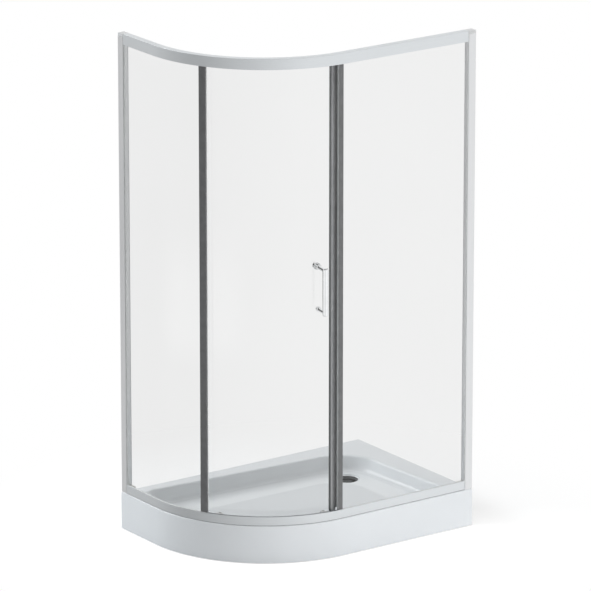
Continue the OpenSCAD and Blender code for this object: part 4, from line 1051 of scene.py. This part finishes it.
wheel_in_r, wheel_wide, wheel_pitch, top_wheel_r, top_wheel_z = 523.8, 6.0, 29.0, 11.0, 2069.3
washer_t = 1.2
face_out, face_in = door_r_out + washer_t, door_r_in - washer_t
set_in_eased(brushed_steel, "steel_plate", 0.5, "top_hanger_left", "top_hanger_right")
set_in_eased(brushed_steel, "steel_plate", 0.3, "hanger_axles")
set_in_eased(brushed_steel, "steel_plate", 0.4, "hanger_bolts")
set_in_eased(clear_vinyl, "seal_clear", 0.25, "hanger_washers")


def across(radius, degrees, z):
    """The place at a radius, plan angle and level, whose own z axis points outwards."""
    return (Matrix.Translation(on_arc(radius, degrees, z))
            @ Matrix.Rotation(math.radians(degrees), 4, "Z")
            @ Matrix.Rotation(math.pi / 2, 4, "Y"))


def joined(meshes):
    """One mesh of several, each with its own finish kept."""
    whole, finishes = bmesh.new(), []
    for mesh in meshes:
        start = len(whole.faces)
        whole.from_mesh(mesh)
        whole.faces.ensure_lookup_table()
        if mesh.materials[0] not in finishes:
            finishes.append(mesh.materials[0])
        for face in whole.faces[start:]:
            face.material_index = finishes.index(mesh.materials[0])
    mesh = bpy.data.meshes.new("joined")
    whole.to_mesh(mesh)
    whole.free()
    return finished(mesh, *finishes)


def lathe_profile(corners, ease):
    """A lathe profile with rounded corners, except where it ends on the axis."""
    steps = 4
    profile = [tuple(q) for q in rounded(corners, ease, steps)]
    if corners[0][0] > 0:
        return profile
    return [corners[0]] + profile[steps + 1:-steps - 1] + [corners[-1]]


def wheel_mesh(r, place):
    """A nylon wheel on a small ball bearing, its balls showing between the two races."""
    hub, race_in, race_out, race_t, wide = 3.05, 4.7, r - 2.6, 0.9, wheel_wide
    tread = lathe_profile([(race_out - 0.1, 1), (race_out, 0), (r - 0.6, 0), (r, 0.6),
                           (r, wide - 0.6), (r - 0.6, wide), (race_out, wide),
                           (race_out - 0.1, wide - 1)], 0.25)
    outer = [(race_out - race_t, 1.2), (race_out, 1.1), (race_out, wide - 1.1),
             (race_out - race_t, wide - 1.2)]
    inner = [(hub, 0.2), (race_in, 0.2), (race_in, wide - 0.2), (hub, wide - 0.2)]
    ball_r, balls = (race_out - race_t - race_in) / 2, 9
    half_round = [(ball_r * math.cos(a), ball_r * math.sin(a)) for a in (-1.0, -0.5, 0.0, 0.5, 1.0)]
    ball = turned("ball", [(0, -ball_r), *half_round, (0, ball_r)], steps=12)
    seats = [place @ Matrix.Translation((0, 0, wide / 2))
             @ Matrix.Rotation(math.tau * k / balls, 4, "Z")
             @ Matrix.Translation(((race_in + race_out - race_t) / 2, 0, 0)) for k in range(balls)]
    return joined([turned("tyre", tread, place, 72, nylon),
                   turned("race", outer, place, 48, brushed_steel),
                   turned("race", inner, place, 48, brushed_steel), repeated(ball, seats, chrome)])


half_pitch = math.degrees(wheel_pitch / wheel_in_r) / 2
for k, a in enumerate((a + way * half_pitch) for a in roller_at for way in (-1, 1)):
    wheel = wheel_mesh(top_wheel_r, across(wheel_in_r, a, top_wheel_z))
    set_in(f"top_wheel_{k + 1}", wheel)
cap = lathe_profile([(0, -7.9), (6.5, -7.9), (11, -4.8), (11, 0), (8, 0), (8, -2.9), (0, -2.9)], 0.9)
set_in_turned("hanger_caps", chrome, [across(face_in, a, hanger_z) for a in roller_at],
              cap, steps=64)


# The bottom carriers
# A white housing on the outside of the glass holds a sprung slider with the bottom wheel. Its
# button, on the inside, lifts the wheel out of the rail, so the door swings in for cleaning.

wheel_z, pin_z, spring_low, spring_high, release_lift = 172.3, 180.0, 176.1, 190.9, 7.0
coil_r, wire_r, coil_turns, turn_steps, slider_r, spring_aside = 1.65, 0.33, 7, 14, 518.5, 5.3
button_r, bottom_wheel_r = 492.4, 10.0
# The slider's top, and how far it stays from the housing's roof when it is lifted
slider_top, roof_gap = 184.0, 0.2
white_plastic = plastic("white_plastic", (0.76, 0.76, 0.76), (0.80, 0.80, 0.80), 0.25, 0.4)
set_in_eased(white_plastic, "white_plastic", 0.5, "carrier_housings", "carrier_rings")
button = lathe_profile([(0, -6), (4.6, -6), (6, -5), (6, -4), (5.4, -3.6), (6, -3.2), (6, 0),
                        (2.6, 0), (2.6, -4.1), (0, -4.1)], 0.35)
wire = [plan_way(45 * k).xy * wire_r for k in range(8)]
for side, a in zip(("left", "right"), roller_at):
    slider = "release_slider_" + side
    plate = eased(slider, brushed_steel, 0.3)
    for point in plate.vertices:
        if point.co.z * metre > slider_top - 0.1:
            point.co.z -= roof_gap * mm
    set_in(slider, plate)
    wheel = wheel_mesh(bottom_wheel_r, across(wheel_in_r, a, wheel_z))
    set_in("bottom_wheel_" + side, wheel)
    set_in_turned("release_button_" + side, white_plastic,
                  [across(button_r, a, pin_z)], button, steps=40)
    # The coil spring, squeezed against the housing as the slider rises
    seat = on_arc(slider_r, a) + plan_way(a + 90) * spring_aside
    spring_length, steps = spring_high - spring_low, coil_turns * turn_steps
    coil = [seat + plan_way(360 * k / turn_steps) * coil_r
            + Vector((0, 0, spring_low + wire_r + (spring_length - 2 * wire_r) * (k / steps)))
            for k in range(steps + 1)]
    spring = set_in("release_spring_" + side, sweep(coil, wire, brushed_steel),
                    smooth=60)
    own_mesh(spring)


# The handle
# A chromed brass bar stands off the glass on two turned posts. Studs run through the glass to a
# round knob and a flat cap on the inside, with clear washers on both faces.

bar_axis_r, bar_r, bar_low, bar_high = 574.0, 11.0, 1037.5, 1234.5
post_length, stud_hole_r = bar_axis_r - 5 - face_out, 3.05
bar_profile = lathe_profile([(0, bar_low), (bar_r, bar_low), (bar_r, bar_high), (0, bar_high)],
                            4.0)
at_bar = Matrix.Translation(on_arc(bar_axis_r, handle_at))
set_in("handle_bar", turned("bar", bar_profile, at_bar, 72, chrome))
post = lathe_profile([(0, 0), (11, 0), (11, 3), (8, 4), (8, post_length), (0, post_length)], 0.8)
set_in_turned("handle_standoffs", chrome,
              [across(face_out, handle_at, z) for z in handle_levels], post, steps=64)
set_in_eased(clear_vinyl, "seal_clear", 0.25, "handle_washers")
set_in_eased(zinc_steel, "zinc_steel", 0.3, "handle_studs")
low_cap = lathe_profile([(0, -6), (7, -6), (9, -4), (9, 0), (stud_hole_r, 0), (stud_hole_r, -4.1),
                         (0, -4.1)], 0.9)
knob = lathe_profile([(0, -25), (15, -25), (15, -8), (9, -8), (9, 0), (stud_hole_r, 0),
                      (stud_hole_r, -15.1), (0, -15.1)], 3.6)
for name, profile, z in zip(("handle_knob", "handle_cap"), (knob, low_cap), reversed(handle_levels)):
    set_in_turned(name, chrome, [across(face_in, handle_at, z)], profile, steps=72)
